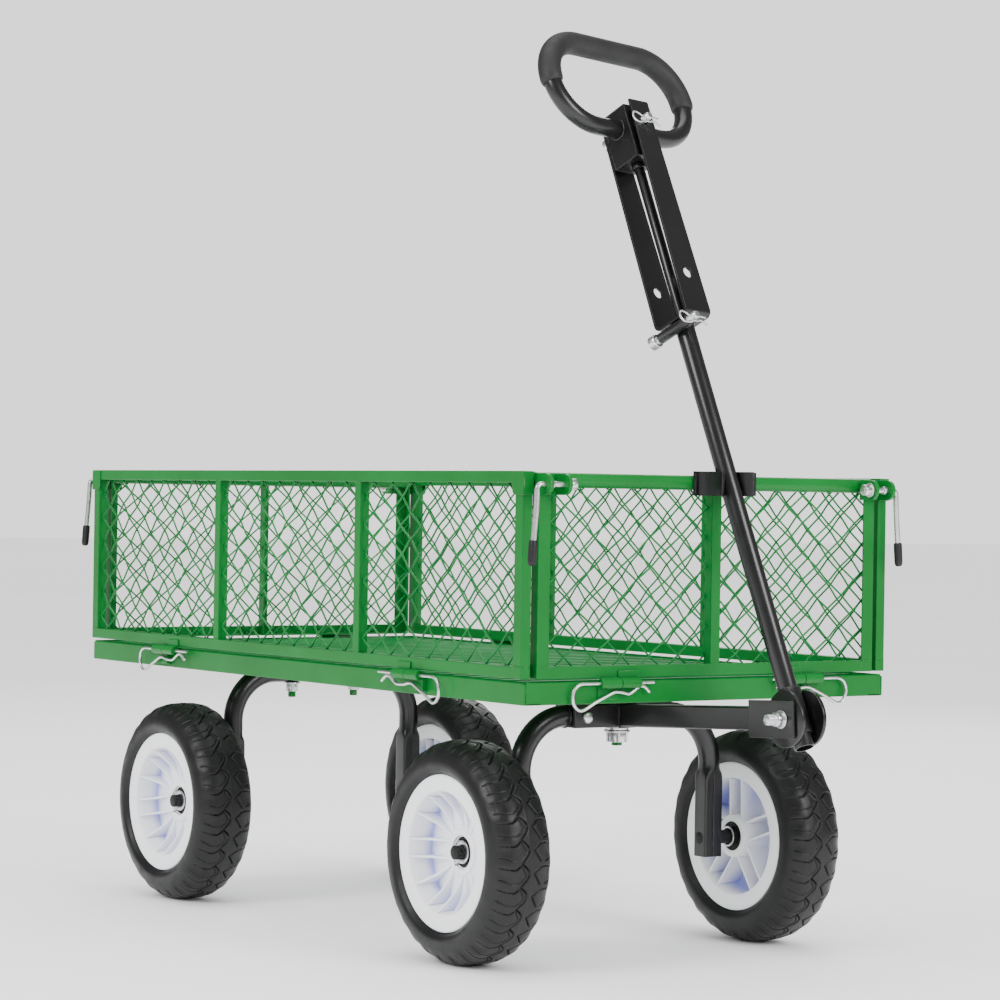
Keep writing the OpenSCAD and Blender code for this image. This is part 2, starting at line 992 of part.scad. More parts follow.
// centreline of the loop: two straights and two half circles
module loop_path(r) {
  along_y(0, grip_s, -loop_half, loop_half, r);
  along_y(0, loop_top_s, -loop_half, loop_half, r);
  both_sides()
    translate([0, loop_half, grip_s + loop_r])
      rotate([90, 0, 90])
        rotate([0, 0, -90])
          rotate_extrude(angle = 180)
            translate([loop_r, 0])
              circle(r = r);
}

module loop_tube() {
  color([0.07, 0.07, 0.07])
    on_head()
      difference() {
        loop_path(loop_tube_d / 2);
        loop_path(loop_tube_d / 2 - 1.6);
        along_x(0, pin_s, -21, 21, pin_r + 0.1);
      }
}

module foam_profile() {
  difference() {
    circle(r = foam_d / 2);
    circle(r = loop_tube_d / 2 + 0.02);
  }
}

// Foam sleeve: a straight piece and a curved piece on each side
module foam_grip() {
  color([0.05, 0.05, 0.05])
    on_head() {
      translate([0, -loop_half + 0.02, loop_top_s])
        rotate([-90, 0, 0])
          linear_extrude(height = 2 * loop_half - 0.04)
            foam_profile();
      for (m = [0, 180])
        rotate([0, 0, m])
          translate([0, loop_half, grip_s + loop_r])
            rotate([90, 0, 90])
              rotate([0, 0, -8])
                rotate_extrude(angle = 97.9)
                  translate([loop_r, 0])
                    foam_profile();
    }
}

// ---------------------------------------------------------------- wheels
// Wheel parts are built round the Z axis, outer side up, then laid on their side.
module on_wheel(x, side) {
  translate([x, side * half_track, wheel_r])
    rotate([-90 * side, 0, 0])
      children();
}

module tyre() {
  w = tyre_width / 2;
  color([0.06, 0.06, 0.06])
    rotate_extrude()
      polygon([[rim_r, -w + 5], [rim_r + 4, -w + 2], [rim_r + 10, -w], [rim_r + 15, -w + 0.4],
        [rim_r + 22, -w + 3], [rim_r + 28, -w + 8], [wheel_r - 5.5, -w + 13],
        [wheel_r - 1.5, -w + 22], [wheel_r - 0.3, -14], [wheel_r - 4, -13], [wheel_r - 4, -7],
        [wheel_r - 0.1, -6], [wheel_r, 0], [wheel_r - 0.1, 6], [wheel_r - 4, 7],
        [wheel_r - 4, 13], [wheel_r - 0.3, 14], [wheel_r - 1.5, w - 22],
        [wheel_r - 5.5, w - 13], [rim_r + 28, w - 8], [rim_r + 22, w - 3],
        [rim_r + 15, w - 0.4], [rim_r + 10, w], [rim_r + 4, w - 2], [rim_r, w - 5]]);
}

module rim() {
  seat = rim_r - 5;
  lip = 0.78 * rim_r;
  face = 33;
  color([0.85, 0.88, 0.9])
    difference() {
      union() {
        // barrel, front ring, dished web and hub
        rotate_extrude()
          polygon([[hub_r, hub_in], [hub_r, -6], [hub_r + 12, -9], [seat - 16, -9],
            [seat - 5, face - 16], [seat, face - 22], [seat, -face], [rim_r - 0.1, -face - 1],
            [rim_r - 0.1, face + 1], [rim_r - 3, face + 2], [lip + 2, face + 1.5],
            [lip, face - 1], [lip - 5, face - 16], [lip - 14, -4], [hub_r + 12, -4],
            [hub_r, hub_out], [bearing_r, hub_out], [bearing_r, hub_in]]);
        // curved fins in the dish
        for (i = [0 : fin_count - 1])
          rotate([0, 0, i * 360 / fin_count])
            rim_fin();
        // straight ribs behind the web
        for (i = [0 : fin_count - 1])
          rotate([0, 0, (i + 0.5) * 360 / fin_count])
            translate([hub_r - 1, -1.5, -30])
              cube([seat - hub_r + 2, 3, 22]);
        // hub sleeve between the bearings
        rotate_extrude()
          translate([spindle_d / 2 + 1, hub_in + bearing_w])
            square([bearing_r - spindle_d / 2 - 0.9, hub_out - hub_in - 2 * bearing_w]);
      }
    }
}

// one curved fin: part of an upright ring, kept inside the dish
module rim_fin() {
  intersection() {
    translate([hub_r + 20, 26, -5])
      difference() {
        cylinder(h = 24, r = 34);
        translate([0, 0, -1])
          cylinder(h = 26, r = 31.5);
      }
    rotate_extrude()
      polygon([[hub_r - 1, -5], [hub_r - 1, 2], [0.78 * rim_r - 7, 12],
        [0.78 * rim_r - 3.5, 12], [0.78 * rim_r - 12, -5]]);
    translate([0, -60, -6])
      cube([120, 58, 40]);
  }
}

module bearings() {
  color([0.1, 0.1, 0.1])
    for (z = [hub_in, hub_out - bearing_w])
      translate([0, 0, z])
        difference() {
          cylinder(h = bearing_w, r = bearing_r);
          translate([0, 0, -1])
            cylinder(h = bearing_w + 2, r = spindle_d / 2 + fit);
        }
}

module front_left_tyre() {
  on_wheel(axle_x, 1)
    tyre();
}

module front_left_rim() {
  on_wheel(axle_x, 1)
    rim();
}

module front_left_bearings() {
  on_wheel(axle_x, 1)
    bearings();
}

module front_right_tyre() {
  on_wheel(axle_x, -1)
    tyre();
}

module front_right_rim() {
  on_wheel(axle_x, -1)
    rim();
}

module front_right_bearings() {
  on_wheel(axle_x, -1)
    bearings();
}

module rear_left_tyre() {
  on_wheel(-axle_x, 1)
    tyre();
}

module rear_left_rim() {
  on_wheel(-axle_x, 1)
    rim();
}

module rear_left_bearings() {
  on_wheel(-axle_x, 1)
    bearings();
}

module rear_right_tyre() {
  on_wheel(-axle_x, -1)
    tyre();
}

module rear_right_rim() {
  on_wheel(-axle_x, -1)
    rim();
}

module rear_right_bearings() {
  on_wheel(-axle_x, -1)
    bearings();
}

tray_rails();
tray_crossmembers();
deck_mesh();
tray_hinges();
hinge_hairpins();
front_panel_frame();
front_panel_mesh();
front_latch_brackets();
pole_clip();
rear_panel_frame();
rear_panel_mesh();
rear_panel_hinges();
rear_latch_brackets();
left_panel_frame();
left_panel_mesh();
left_panel_hinges();
right_panel_frame();
right_panel_mesh();
right_panel_hinges();
front_left_latch_lever();
front_left_latch_tip();
front_right_latch_lever();
front_right_latch_tip();
rear_left_latch_lever();
rear_left_latch_tip();
rear_right_latch_lever();
rear_right_latch_tip();
rear_axle_arch();
rear_spindles();
rear_axle_bolts();
kingpin();
kingpin_spacer();
steer_bracket();
front_axle_arms();
front_spindles();
steer_bolts();
drawbar();
clevis_plates();
pole_tube();
pivot_socket();
tow_yoke();
hitch_pins();
hitch_clips();
slide_rod();
handle_block();
loop_tube();
foam_grip();
front_left_tyre();
front_left_rim();
front_left_bearings();
front_right_tyre();
front_right_rim();
front_right_bearings();
rear_left_tyre();
rear_left_rim();
rear_left_bearings();
rear_right_tyre();
rear_right_rim();
rear_right_bearings();
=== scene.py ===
import bpy
import json
import math
import random
import numpy as np
from mathutils import Matrix, Vector


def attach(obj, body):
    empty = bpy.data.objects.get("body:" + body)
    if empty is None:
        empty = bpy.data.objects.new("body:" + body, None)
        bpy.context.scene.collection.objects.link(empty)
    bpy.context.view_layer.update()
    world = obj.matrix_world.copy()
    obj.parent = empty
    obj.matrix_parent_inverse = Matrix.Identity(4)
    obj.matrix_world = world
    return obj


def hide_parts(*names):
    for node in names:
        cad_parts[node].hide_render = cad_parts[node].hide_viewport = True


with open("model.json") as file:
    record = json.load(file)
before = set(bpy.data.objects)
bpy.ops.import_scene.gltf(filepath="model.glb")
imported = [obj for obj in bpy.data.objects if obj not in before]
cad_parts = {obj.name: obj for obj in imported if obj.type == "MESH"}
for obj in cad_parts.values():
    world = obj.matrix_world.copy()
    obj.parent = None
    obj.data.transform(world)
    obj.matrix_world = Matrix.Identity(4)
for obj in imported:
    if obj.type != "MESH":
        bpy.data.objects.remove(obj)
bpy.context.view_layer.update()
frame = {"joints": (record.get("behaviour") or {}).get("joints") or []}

MM = 0.001                     # every size below is in millimetres
rnd = random.Random(11)        # unevenness of wires and weld beads

# ------------------------------------------------------------------ camera
# a level camera, fitted to the photo; CAM_TURN is its turn about the vertical from looking along +Y
CAM_AT = (3.28875, -2.18063, 0.52516)
CAM_TURN, CAM_ROLL, CAM_LENS = 55.776, 0.88, 113.2

cam_data = bpy.data.cameras.new("cam")
cam_data.lens = CAM_LENS
cam_data.sensor_width = 36.0
cam = bpy.data.objects.new("cam", cam_data)
bpy.context.scene.collection.objects.link(cam)
cam.matrix_world = (Matrix.Translation(CAM_AT) @ Matrix.Rotation(math.radians(CAM_TURN), 4, "Z")
                    @ Matrix.Rotation(math.radians(90), 4, "X")
                    @ Matrix.Rotation(math.radians(CAM_ROLL), 4, "Z"))
bpy.context.scene.camera = cam


# ------------------------------------------------------------------ materials
class Nodes:
    """A material and short ways to add nodes to it. Coordinates are the object's own, in metres."""

    def __init__(self, name):
        self.mat = bpy.data.materials.new(name)
        self.mat.use_nodes = True
        self.t = self.mat.node_tree
        self.bsdf = self.t.nodes["Principled BSDF"]
        self.coord = self.t.nodes.new("ShaderNodeTexCoord").outputs["Object"]

    def node(self, kind, **kw):
        n = self.t.nodes.new(kind)
        for k, v in kw.items():
            if k in n.inputs:
                n.inputs[k].default_value = v
            else:
                setattr(n, k, v)
        return n

    def link(self, a, b):
        self.t.links.new(a, b)

    def noise(self, scale, detail=4.0, rough=0.55, stretch=None):
        """Noise from 0 to 1; stretch scales its axes."""
        n = self.node("ShaderNodeTexNoise", Scale=scale, Detail=detail, Roughness=rough)
        if stretch:
            m = self.node("ShaderNodeMapping")
            m.inputs["Scale"].default_value = stretch
            self.link(self.coord, m.inputs["Vector"])
            self.link(m.outputs[0], n.inputs["Vector"])
        else:
            self.link(self.coord, n.inputs["Vector"])
        return n.outputs["Fac"]

    def ramp(self, fac, lo, hi, a, b):
        """Maps lo..hi onto a..b."""
        r = self.node("ShaderNodeMapRange")
        r.inputs["From Min"].default_value = lo
        r.inputs["From Max"].default_value = hi
        r.inputs["To Min"].default_value = a
        r.inputs["To Max"].default_value = b
        self.link(fac, r.inputs["Value"])
        return r.outputs["Result"]

    def mix(self, fac, a, b):
        """Colour a to b by fac; each is a colour or a socket."""
        m = self.node("ShaderNodeMix", data_type="RGBA")
        self.link(fac, m.inputs["Factor"])
        for sock, v in ((m.inputs[6], a), (m.inputs[7], b)):
            if isinstance(v, tuple):
                sock.default_value = (*v, 1.0)
            else:
                self.link(v, sock)
        return m.outputs[2]

    def bump(self, height, strength, dist, prev=None):
        b = self.node("ShaderNodeBump", Strength=strength, Distance=dist)
        self.link(height, b.inputs["Height"])
        if prev:
            self.link(prev, b.inputs["Normal"])
        return b.outputs["Normal"]


def set_in(b, **kw):
    """Sets inputs of a node by name."""
    for k, v in kw.items():
        b.inputs[k.replace("_", " ")].default_value = v


EDGE_REACH = 0.0011            # metres from an edge that the painted edge highlight and wear can reach


def paint(name, dark, light, rough, peel=0.06, coat=0.08, edge_wear_and_highlight=(0.3, 0.32, 0.3), wear_and_highlight_edges=True, spec=0.2):
    """Sprayed enamel: slow colour drift, faint orange peel, dust in the roughness, edges lightened as rubbed wear and
    painted highlight.

    An edge is where the rounded normal of a Bevel node differs from the true one."""
    m = Nodes(name)
    base = m.mix(m.ramp(m.noise(9.0, 3.0), 0.35, 0.65, 0.0, 1.0), dark, light)
    if wear_and_highlight_edges:
        # edges lightened in the base colour: partly rubbed wear, partly painted highlight
        bev = m.node("ShaderNodeBevel", samples=4)
        bev.inputs["Radius"].default_value = EDGE_REACH
        dot = m.node("ShaderNodeVectorMath", operation="DOT_PRODUCT")
        m.link(bev.outputs[0], dot.inputs[0])
        m.link(m.node("ShaderNodeNewGeometry").outputs["Normal"], dot.inputs[1])
        edge = m.node("ShaderNodeMath", operation="MULTIPLY")
        m.link(m.ramp(dot.outputs["Value"], 0.98, 0.86, 0.0, 0.5), edge.inputs[0])
        m.link(m.ramp(m.noise(130.0, 5.0, 0.65), 0.5, 0.66, 0.0, 1.0), edge.inputs[1])
        base = m.mix(edge.outputs[0], base, edge_wear_and_highlight)
    m.link(base, m.bsdf.inputs["Base Color"])
    dust = m.ramp(m.noise(38.0, 5.0, 0.6), 0.3, 0.75, rough - 0.04, rough + 0.06)
    m.link(dust, m.bsdf.inputs["Roughness"])
    n = m.bump(m.noise(900.0, 2.0), peel, 0.0003)
    n = m.bump(m.noise(60.0, 2.0), 0.02, 0.002, n)
    m.link(n, m.bsdf.inputs["Normal"])
    set_in(m.bsdf, Coat_Weight=coat, Coat_Roughness=0.14, Specular_IOR_Level=spec)
    return m.mat


def plated(name, dark, light, rough):
    """Zinc plate: small spangle, brushed streaks, uneven shine."""
    m = Nodes(name)
    v = m.node("ShaderNodeTexVoronoi", Scale=420.0)
    m.link(m.coord, v.inputs["Vector"])
    base = m.mix(m.ramp(v.outputs["Distance"], 0.1, 0.7, 0.0, 1.0), dark, light)
    tint = m.mix(m.ramp(m.noise(55.0, 4.0), 0.4, 0.7, 0.0, 0.35), base, (0.55, 0.52, 0.42))
    m.link(tint, m.bsdf.inputs["Base Color"])
    shine = m.ramp(m.noise(300.0, 5.0, 0.7), 0.3, 0.7, rough - 0.05, rough + 0.08)
    m.link(shine, m.bsdf.inputs["Roughness"])
    m.link(m.bump(m.noise(1100.0, 3.0, 0.6, (1, 1, 0.2)), 0.05, 0.0003), m.bsdf.inputs["Normal"])
    set_in(m.bsdf, Metallic=1.0)
    return m.mat


def rubber(name, dark, light, rough, scale, strength, fine=1800.0, spec=0.35, groove=False):
    """Moulded rubber or foam: mottled tone, skin texture, pores; groove paints shade into the cut tread."""
    m = Nodes(name)
    base = m.mix(m.ramp(m.noise(26.0, 5.0, 0.65), 0.35, 0.7, 0.0, 1.0), dark, light)
    if groove:
        # painted shade: the tread's grooves are darkened in the base colour by the groove attribute
        painted_groove_shade = m.node("ShaderNodeAttribute", attribute_name="groove").outputs["Fac"]
        base = m.mix(painted_groove_shade, base, (0.0006, 0.0006, 0.0006))
    m.link(base, m.bsdf.inputs["Base Color"])
    dust = m.ramp(m.noise(60.0, 4.0, 0.6), 0.3, 0.7, rough - 0.08, rough + 0.08)
    m.link(dust, m.bsdf.inputs["Roughness"])
    v = m.node("ShaderNodeTexVoronoi", Scale=scale)
    m.link(m.coord, v.inputs["Vector"])
    n = m.bump(v.outputs["Distance"], strength, 0.0004)
    n = m.bump(m.noise(fine, 3.0), 0.2, 0.0003, n)
    m.link(n, m.bsdf.inputs["Normal"])
    set_in(m.bsdf, Specular_IOR_Level=spec)
    return m.mat


def rim_plastic():
    """White nylon, a little translucent, with painted cool blue shade in its deep corners, from the mesh's "deep"
    attribute.
    """
    m = Nodes("rim_white")
    tint = m.node("ShaderNodeAttribute", attribute_name="deep").outputs["Fac"]
    blot = m.noise(40.0, 3.0)
    white = m.mix(m.ramp(blot, 0.35, 0.7, 0.0, 1.0), (0.92, 0.925, 0.95), (0.87, 0.88, 0.92))
    # painted shade: the deep attribute mixes blue into the white
    m.link(m.mix(tint, white, (0.12, 0.17, 0.80)), m.bsdf.inputs["Base Color"])
    m.link(m.ramp(m.noise(120.0, 5.0, 0.7), 0.3, 0.7, 0.34, 0.5), m.bsdf.inputs["Roughness"])
    m.link(m.bump(m.noise(700.0, 3.0), 0.1, 0.0003), m.bsdf.inputs["Normal"])
    set_in(m.bsdf, Subsurface_Weight=0.12, Subsurface_Scale=0.01)
    return m.mat


GREEN = paint("green_enamel", (0.0, 0.122, 0.014), (0.0, 0.150, 0.020), 0.38)
# paler copy of the green enamel for the wires: painted highlight
WIRE_GREEN_PAINTED_HIGHLIGHT = paint("wire_green_painted_highlight", (0.0, 0.115, 0.018), (0.002, 0.165, 0.030), 0.34, wear_and_highlight_edges=False)
BLACK = paint("black_enamel", (0.0032, 0.0032, 0.0034), (0.0052, 0.0052, 0.0055), 0.33, peel=0.08, coat=0.25,
              edge_wear_and_highlight=(0.07, 0.07, 0.07), spec=0.45)
MATTE = paint("black_matte", (0.008, 0.008, 0.008), (0.013, 0.013, 0.013), 0.5, peel=0.15, coat=0.04,
              edge_wear_and_highlight=(0.06, 0.06, 0.06))
ZINC = plated("zinc", (0.66, 0.67, 0.69), (0.80, 0.81, 0.83), 0.3)
# groove=True paints shade into the grooves of the tread
TYRE = rubber("tyre_rubber", (0.0055, 0.0055, 0.0057), (0.0095, 0.0095, 0.0098), 0.42, 900.0, 0.08, groove=True)
TIP = rubber("tip_rubber", (0.006, 0.006, 0.006), (0.012, 0.012, 0.012), 0.46, 700.0, 0.12)
FOAM = rubber("grip_foam", (0.007, 0.007, 0.0073), (0.014, 0.014, 0.0145), 0.6, 520.0, 0.3, 2600.0, spec=0.5)
RIM = rim_plastic()


# ------------------------------------------------------------------ shape kit (millimetres)
def axes(o, x, y, z):
    """Matrix that carries local x, y, z onto the given directions, at o."""
    m = Matrix.Identity(4)
    for i, v in enumerate((x, y, z, o)):
        for k in range(3):
            m[k][i] = v[k]
    return m


def toward(p, q):
    """Matrix at p with its z axis towards q."""
    z = (Vector(q) - Vector(p)).normalized()
    x = Vector((0, 0, 1)).cross(z)
    x = Vector((1, 0, 0)) if x.length < 1e-4 else x.normalized()
    return axes(p, x, z.cross(x), z)


def smooth_path(pts, per=6, closed=False):
    """Catmull-Rom points through pts."""
    p = [Vector(v) for v in pts]
    n = len(p)
    out = []
    last = n if closed else n - 1
    for i in range(last):
        a, b, c, d = (p[(i + k) % n] if closed else p[min(max(i + k, 0), n - 1)] for k in (-1, 0, 1, 2))
        for s in range(per):
            t = s / per
            out.append(0.5 * (2 * b + (c - a) * t + (2 * a - 5 * b + 4 * c - d) * t * t
                              + (3 * b - a - 3 * c + d) * t ** 3))
    if not closed:
        out.append(p[-1])
    return out


class Shape:
    """Points and faces that grow call by call; most calls give the shape back."""

    def __init__(self):
        self.v = []
        self.f = []

    def add(self, verts, faces, m=None):
        n = len(self.v)
        self.v += [tuple(m @ Vector(p)) if m is not None else tuple(p) for p in verts]
        self.f += [tuple(i + n for i in f) for f in faces]
        return self

    def join(self, other, m=None, flip=False):
        faces = [f[::-1] for f in other.f] if flip else other.f
        return self.add(other.v, faces, m)

    def mirrored(self, axis):
        """A mirrored copy; axis is 0, 1 or 2."""
        s = Shape()
        s.v = [tuple(-c if i == axis else c for i, c in enumerate(p)) for p in self.v]
        s.f = [f[::-1] for f in self.f]
        return s

    def both(self, axis):
        """Adds the mirror image."""
        return self.join(self.mirrored(axis))

    def box(self, a, b, m=None):
        x0, y0, z0 = (min(p, q) for p, q in zip(a, b))
        x1, y1, z1 = (max(p, q) for p, q in zip(a, b))
        v = [(x0, y0, z0), (x1, y0, z0), (x1, y1, z0), (x0, y1, z0),
             (x0, y0, z1), (x1, y0, z1), (x1, y1, z1), (x0, y1, z1)]
        f = [(0, 3, 2, 1), (4, 5, 6, 7), (0, 1, 5, 4), (1, 2, 6, 5), (2, 3, 7, 6), (3, 0, 4, 7)]
        return self.add(v, f, m)

    def prism(self, poly, h0, h1, m=None):
        """Outline in x and y, from z = h0 to h1."""
        n = len(poly)
        v = [(x, y, h0) for x, y in poly] + [(x, y, h1) for x, y in poly]
        f = [tuple(range(n))[::-1], tuple(range(n, 2 * n))]
        f += [(i, (i + 1) % n, (i + 1) % n + n, i + n) for i in range(n)]
        return self.add(v, f, m)

    def lathe(self, prof, n=48, m=None, closed=False):
        """Turn (r, z) points round the local z axis."""
        k = len(prof)
        v = []
        for i in range(n):
            a = 2 * math.pi * i / n
            v += [(r * math.cos(a), r * math.sin(a), z) for r, z in prof]
        f = []
        for i in range(n):
            j = (i + 1) % n
            for q in range(k if closed else k - 1):
                s = (q + 1) % k
                f.append((i * k + q, j * k + q, j * k + s, i * k + s))
        if not closed:
            f.append(tuple(i * k for i in range(n))[::-1])
            f.append(tuple(i * k + k - 1 for i in range(n)))
        return self.add(v, f, m)

    def cyl(self, r, z0, z1, n=40, c=0.4, m=None, bore=0.0):
        """Cylinder along z with rounded edges of size c, or a ring where it has a bore."""
        c = min(c, (z1 - z0) / 3)
        rim = [(r - c, z0), (r - c * 0.3, z0 + c * 0.3), (r, z0 + c),
               (r, z1 - c), (r - c * 0.3, z1 - c * 0.3), (r - c, z1)]
        if bore:
            inside = [(bore + c * 0.5, z1), (bore, z1 - c * 0.5), (bore, z0 + c * 0.5)]
            return self.lathe([(bore + c * 0.5, z0)] + rim + inside, n, m, closed=True)
        return self.lathe(rim, n, m)

    def hexa(self, r, z0, z1, m=None, bore=0.0):
        """Hexagon nut or head with rounded-off corners."""
        turns = [math.radians(60 * i + 30) for i in range(6)]
        self.prism([(r * math.cos(a), r * math.sin(a)) for a in turns], z0 + 0.6, z1 - 0.6, m)
        self.cyl(r * 0.93, z0, z1, 30, 0.9, m)
        return self

    def tube(self, pts, r, n=16, closed=False, m=None, cap=True):
        """Round bar along pts; r is one radius or one for each point."""
        p = [Vector(q) for q in pts]
        k = len(p)
        rr = r if isinstance(r, (list, tuple)) else [r] * k
        tan = []
        for i in range(k):
            a = p[(i - 1) % k] if closed or i else p[0]
            b = p[(i + 1) % k] if closed or i < k - 1 else p[-1]
            tan.append((b - a).normalized())
        ref = Vector((0, 0, 1)) if abs(tan[0].z) < 0.9 else Vector((1, 0, 0))
        u = (ref - tan[0] * ref.dot(tan[0])).normalized()
        v = []
        for i in range(k):
            u = (u - tan[i] * u.dot(tan[i])).normalized()
            w = tan[i].cross(u)
            for j in range(n):
                a = 2 * math.pi * j / n
                v.append(p[i] + (u * math.cos(a) + w * math.sin(a)) * rr[i])
        f = []
        for i in range(k if closed else k - 1):
            s = (i + 1) % k
            f += [(i * n + j, i * n + (j + 1) % n, s * n + (j + 1) % n, s * n + j) for j in range(n)]
        if cap and not closed:
            f.append(tuple(range(n))[::-1])
            f.append(tuple((k - 1) * n + j for j in range(n)))
        return self.add(v, f, m)

    def bead(self, a, b, r, m=None):
        """Weld bead from a to b, with its row of ripples."""
        a, b = Vector(a), Vector(b)
        n = max(6, int((b - a).length / 1.1))
        rr = ripples(r, n + 1)
        rr[0] = rr[-1] = r * 0.45
        return self.tube([a.lerp(b, i / n) for i in range(n + 1)], rr, 8, m=m)

    def ring_bead(self, r0, z, r, m=None, n=44):
        """Weld bead, or one turn of a thread, round the z axis."""
        turns = [2 * math.pi * i / n for i in range(n)]
        pts = [(r0 * math.cos(a), r0 * math.sin(a), z) for a in turns]
        return self.tube(pts, ripples(r, n), 8, closed=True, m=m)


def ripples(r, n):
    """Uneven radii along a weld bead."""
    return [r * (0.82 + 0.2 * abs(math.sin(i * 1.4)) + rnd.uniform(-0.06, 0.06)) for i in range(n)]




def shade(mesh, sharp):
    mesh.polygons.foreach_set("use_smooth", [True] * len(mesh.polygons))
    mesh.set_sharp_from_angle(angle=math.radians(sharp))


def round_edges(o, width, seg=2):
    b = o.modifiers.new("edge", "BEVEL")
    b.width = width * MM
    b.segments = seg
    b.limit_method = "ANGLE"
    b.angle_limit = math.radians(40)
    b.harden_normals = True


def piece(name, shape, mat, body, nodes=(), bevel=0.0, sharp=38, seg=2, mesh=None):
    """One visible piece, which rides on a body and stands for the named CAD nodes."""
    if mesh is None:
        mesh = bpy.data.meshes.new(name)
        mesh.from_pydata([(x * MM, y * MM, z * MM) for x, y, z in shape.v], [], shape.f)
        mesh.validate()
        shade(mesh, sharp)
        mesh.materials.append(mat)
    o = bpy.data.objects.new(name, mesh)
    bpy.context.scene.collection.objects.link(o)
    if bevel:
        round_edges(o, bevel, seg)
    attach(o, body)
    if nodes:
        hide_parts(*nodes)
    return o


# ------------------------------------------------------------------ sizes shared with the CAD model
JOINT_AT = {j["name"]: Vector([c / MM for c in j["pos_m"]]) for j in frame["joints"]}
HX, HY = 508.0, 254.0              # half length and half width of the tray
Z0, Z1 = 304.0, 329.0              # its underside and its rolled edge
PB, PT = 332.5, 557.0              # bottom and top of the panels
RAIL = 13.0                        # width of the panels' bars
SO, SI = 258.0, 245.0              # outer and inner face of the side panels
EX = HX - 2                        # half length of the side panels
POST_X = 167.0                     # inner posts of the side panels
END_Y = 238.0                      # half width of the end panels
PIN_OFF = 6.0                      # hinge pins stand this far outside the panels
PIN_Z = JOINT_AT["left_panel_fold"].z
AX, WHEEL_Y, WHEEL_R = JOINT_AT["front_left_spin"]
LX, LZ = JOINT_AT["front_left_lever_swing"].xz
PIVOT = JOINT_AT["handle_tilt"]
LEAN, TWIST = math.radians(25.8), math.radians(8.3)   # the parked handle's lean, and its head's turn
P_DIR = Vector((-math.sin(LEAN), 0, math.cos(LEAN)))
N_DIR = Vector((math.cos(LEAN), 0, math.sin(LEAN)))
A_DIR = Vector((0, 1, 0)) * math.cos(TWIST) - N_DIR * math.sin(TWIST)
B_DIR = N_DIR * math.cos(TWIST) + Vector((0, 1, 0)) * math.sin(TWIST)
HEAD = axes(PIVOT, B_DIR, A_DIR, P_DIR)
POLE = axes(PIVOT, N_DIR, Vector((0, 1, 0)), P_DIR)
ON_X = ((0, 1, 0), (0, 0, 1), (1, 0, 0))              # frames whose z axis lies along x or y
ON_Y = ((0, 0, 1), (1, 0, 0), (0, 1, 0))
UPRIGHT = ((1, 0, 0), (0, 0, 1), (0, -1, 0))          # outlines drawn in x and z
SIDES = (-1, 1)

# ------------------------------------------------------------------ tray and deck
SHEET, FLANGE = 2.5, 22.0          # sheet thickness, and the walls' inward flange
ROLL = 2.4                         # radius of the rolled top edge
WIRE_Z = Z1 - 4.7
LONG_R, LONG_PITCH, LONG_HALF = 1.1, 12.7, 19
CROSS_R, CROSS_PITCH, CROSS_HALF = 1.6, 31.75, 15


def tray_walls():
    side, end, top = Shape(), Shape(), Z1 - 2.2
    side.box((-HX, HY - SHEET, Z0), (HX, HY, top))
    side.box((-HX, HY - FLANGE, Z0), (HX, HY - 2, Z0 + SHEET))
    end.box((HX - SHEET, -HY + 2.6, Z0), (HX, HY - 2.6, top))
    end.box((HX - FLANGE, -HY + 22.5, Z0), (HX - 2, HY - 22.5, Z0 + SHEET))
    return side.both(1).join(end.both(0))


def tray_edge():
    """Rolled edge on top of the walls, one bar for each side."""
    s = Shape()
    x, y, z = HX - ROLL, HY - ROLL, Z1 - ROLL
    corners = [Vector(c) for c in ((-x, -y, z), (x, -y, z), (x, y, z), (-x, y, z))]
    for a, b in zip(corners, corners[1:] + corners[:1]):
        gap = (b - a).normalized() * 0.4
        s.tube([a + gap, b - gap], ROLL, 20)
    return s


def deck_long_wires():
    s = Shape()
    for i in range(-LONG_HALF, LONG_HALF + 1):
        y = i * LONG_PITCH + rnd.uniform(-0.4, 0.4)
        middle = (0, y + rnd.uniform(-0.5, 0.5), WIRE_Z - 0.3)
        s.tube([(-HX + 3.2, y, WIRE_Z), middle, (HX - 3.2, y, WIRE_Z)], LONG_R, 8)
    return s


def deck_cross_wires():
    """Cross wires on top, bent down to the walls at their ends."""
    s = Shape()
    z = WIRE_Z + LONG_R + 1.5
    bend = ((HY - 4.6, z - 7.5), (HY - 6, z - 3), (HY - 10, z - 0.4), (HY - 15, z))
    for i in range(-CROSS_HALF, CROSS_HALF + 1):
        x = i * CROSS_PITCH + rnd.uniform(-0.5, 0.5)
        s.tube([(x, -y, h) for y, h in bend] + [(x, 0, z)] + [(x, y, h) for y, h in bend[::-1]],
               CROSS_R, 8)
    return s


def cross_members():
    """Three folded channels under the deck."""
    s = Shape()
    for x, w in ((-AX, 44), (0, 30), (AX, 60)):
        s.box((x - w / 2, -HY + 24, Z0), (x + w / 2, HY - 24, Z0 + SHEET))
        for e in SIDES:
            s.box((x + e * w / 2, -HY + 3, Z0 + 3), (x + e * (w / 2 - 2), HY - 3, Z1 - 6))
        s.box((x - w / 2, -HY + 3, Z1 - 8), (x + w / 2, HY - 3, Z1 - 6))
    return s


piece("tray_walls", tray_walls(), GREEN, "cart", ["tray_rails"], bevel=0.9)
piece("tray_rolled_edge", tray_edge(), GREEN, "cart")
piece("deck_long_wires", deck_long_wires(), GREEN, "cart", ["deck_mesh"], sharp=60)
piece("deck_cross_wires", deck_cross_wires(), WIRE_GREEN_PAINTED_HIGHLIGHT, "cart", sharp=60)
piece("cross_members", cross_members(), GREEN, "cart", ["tray_crossmembers"], bevel=0.8)


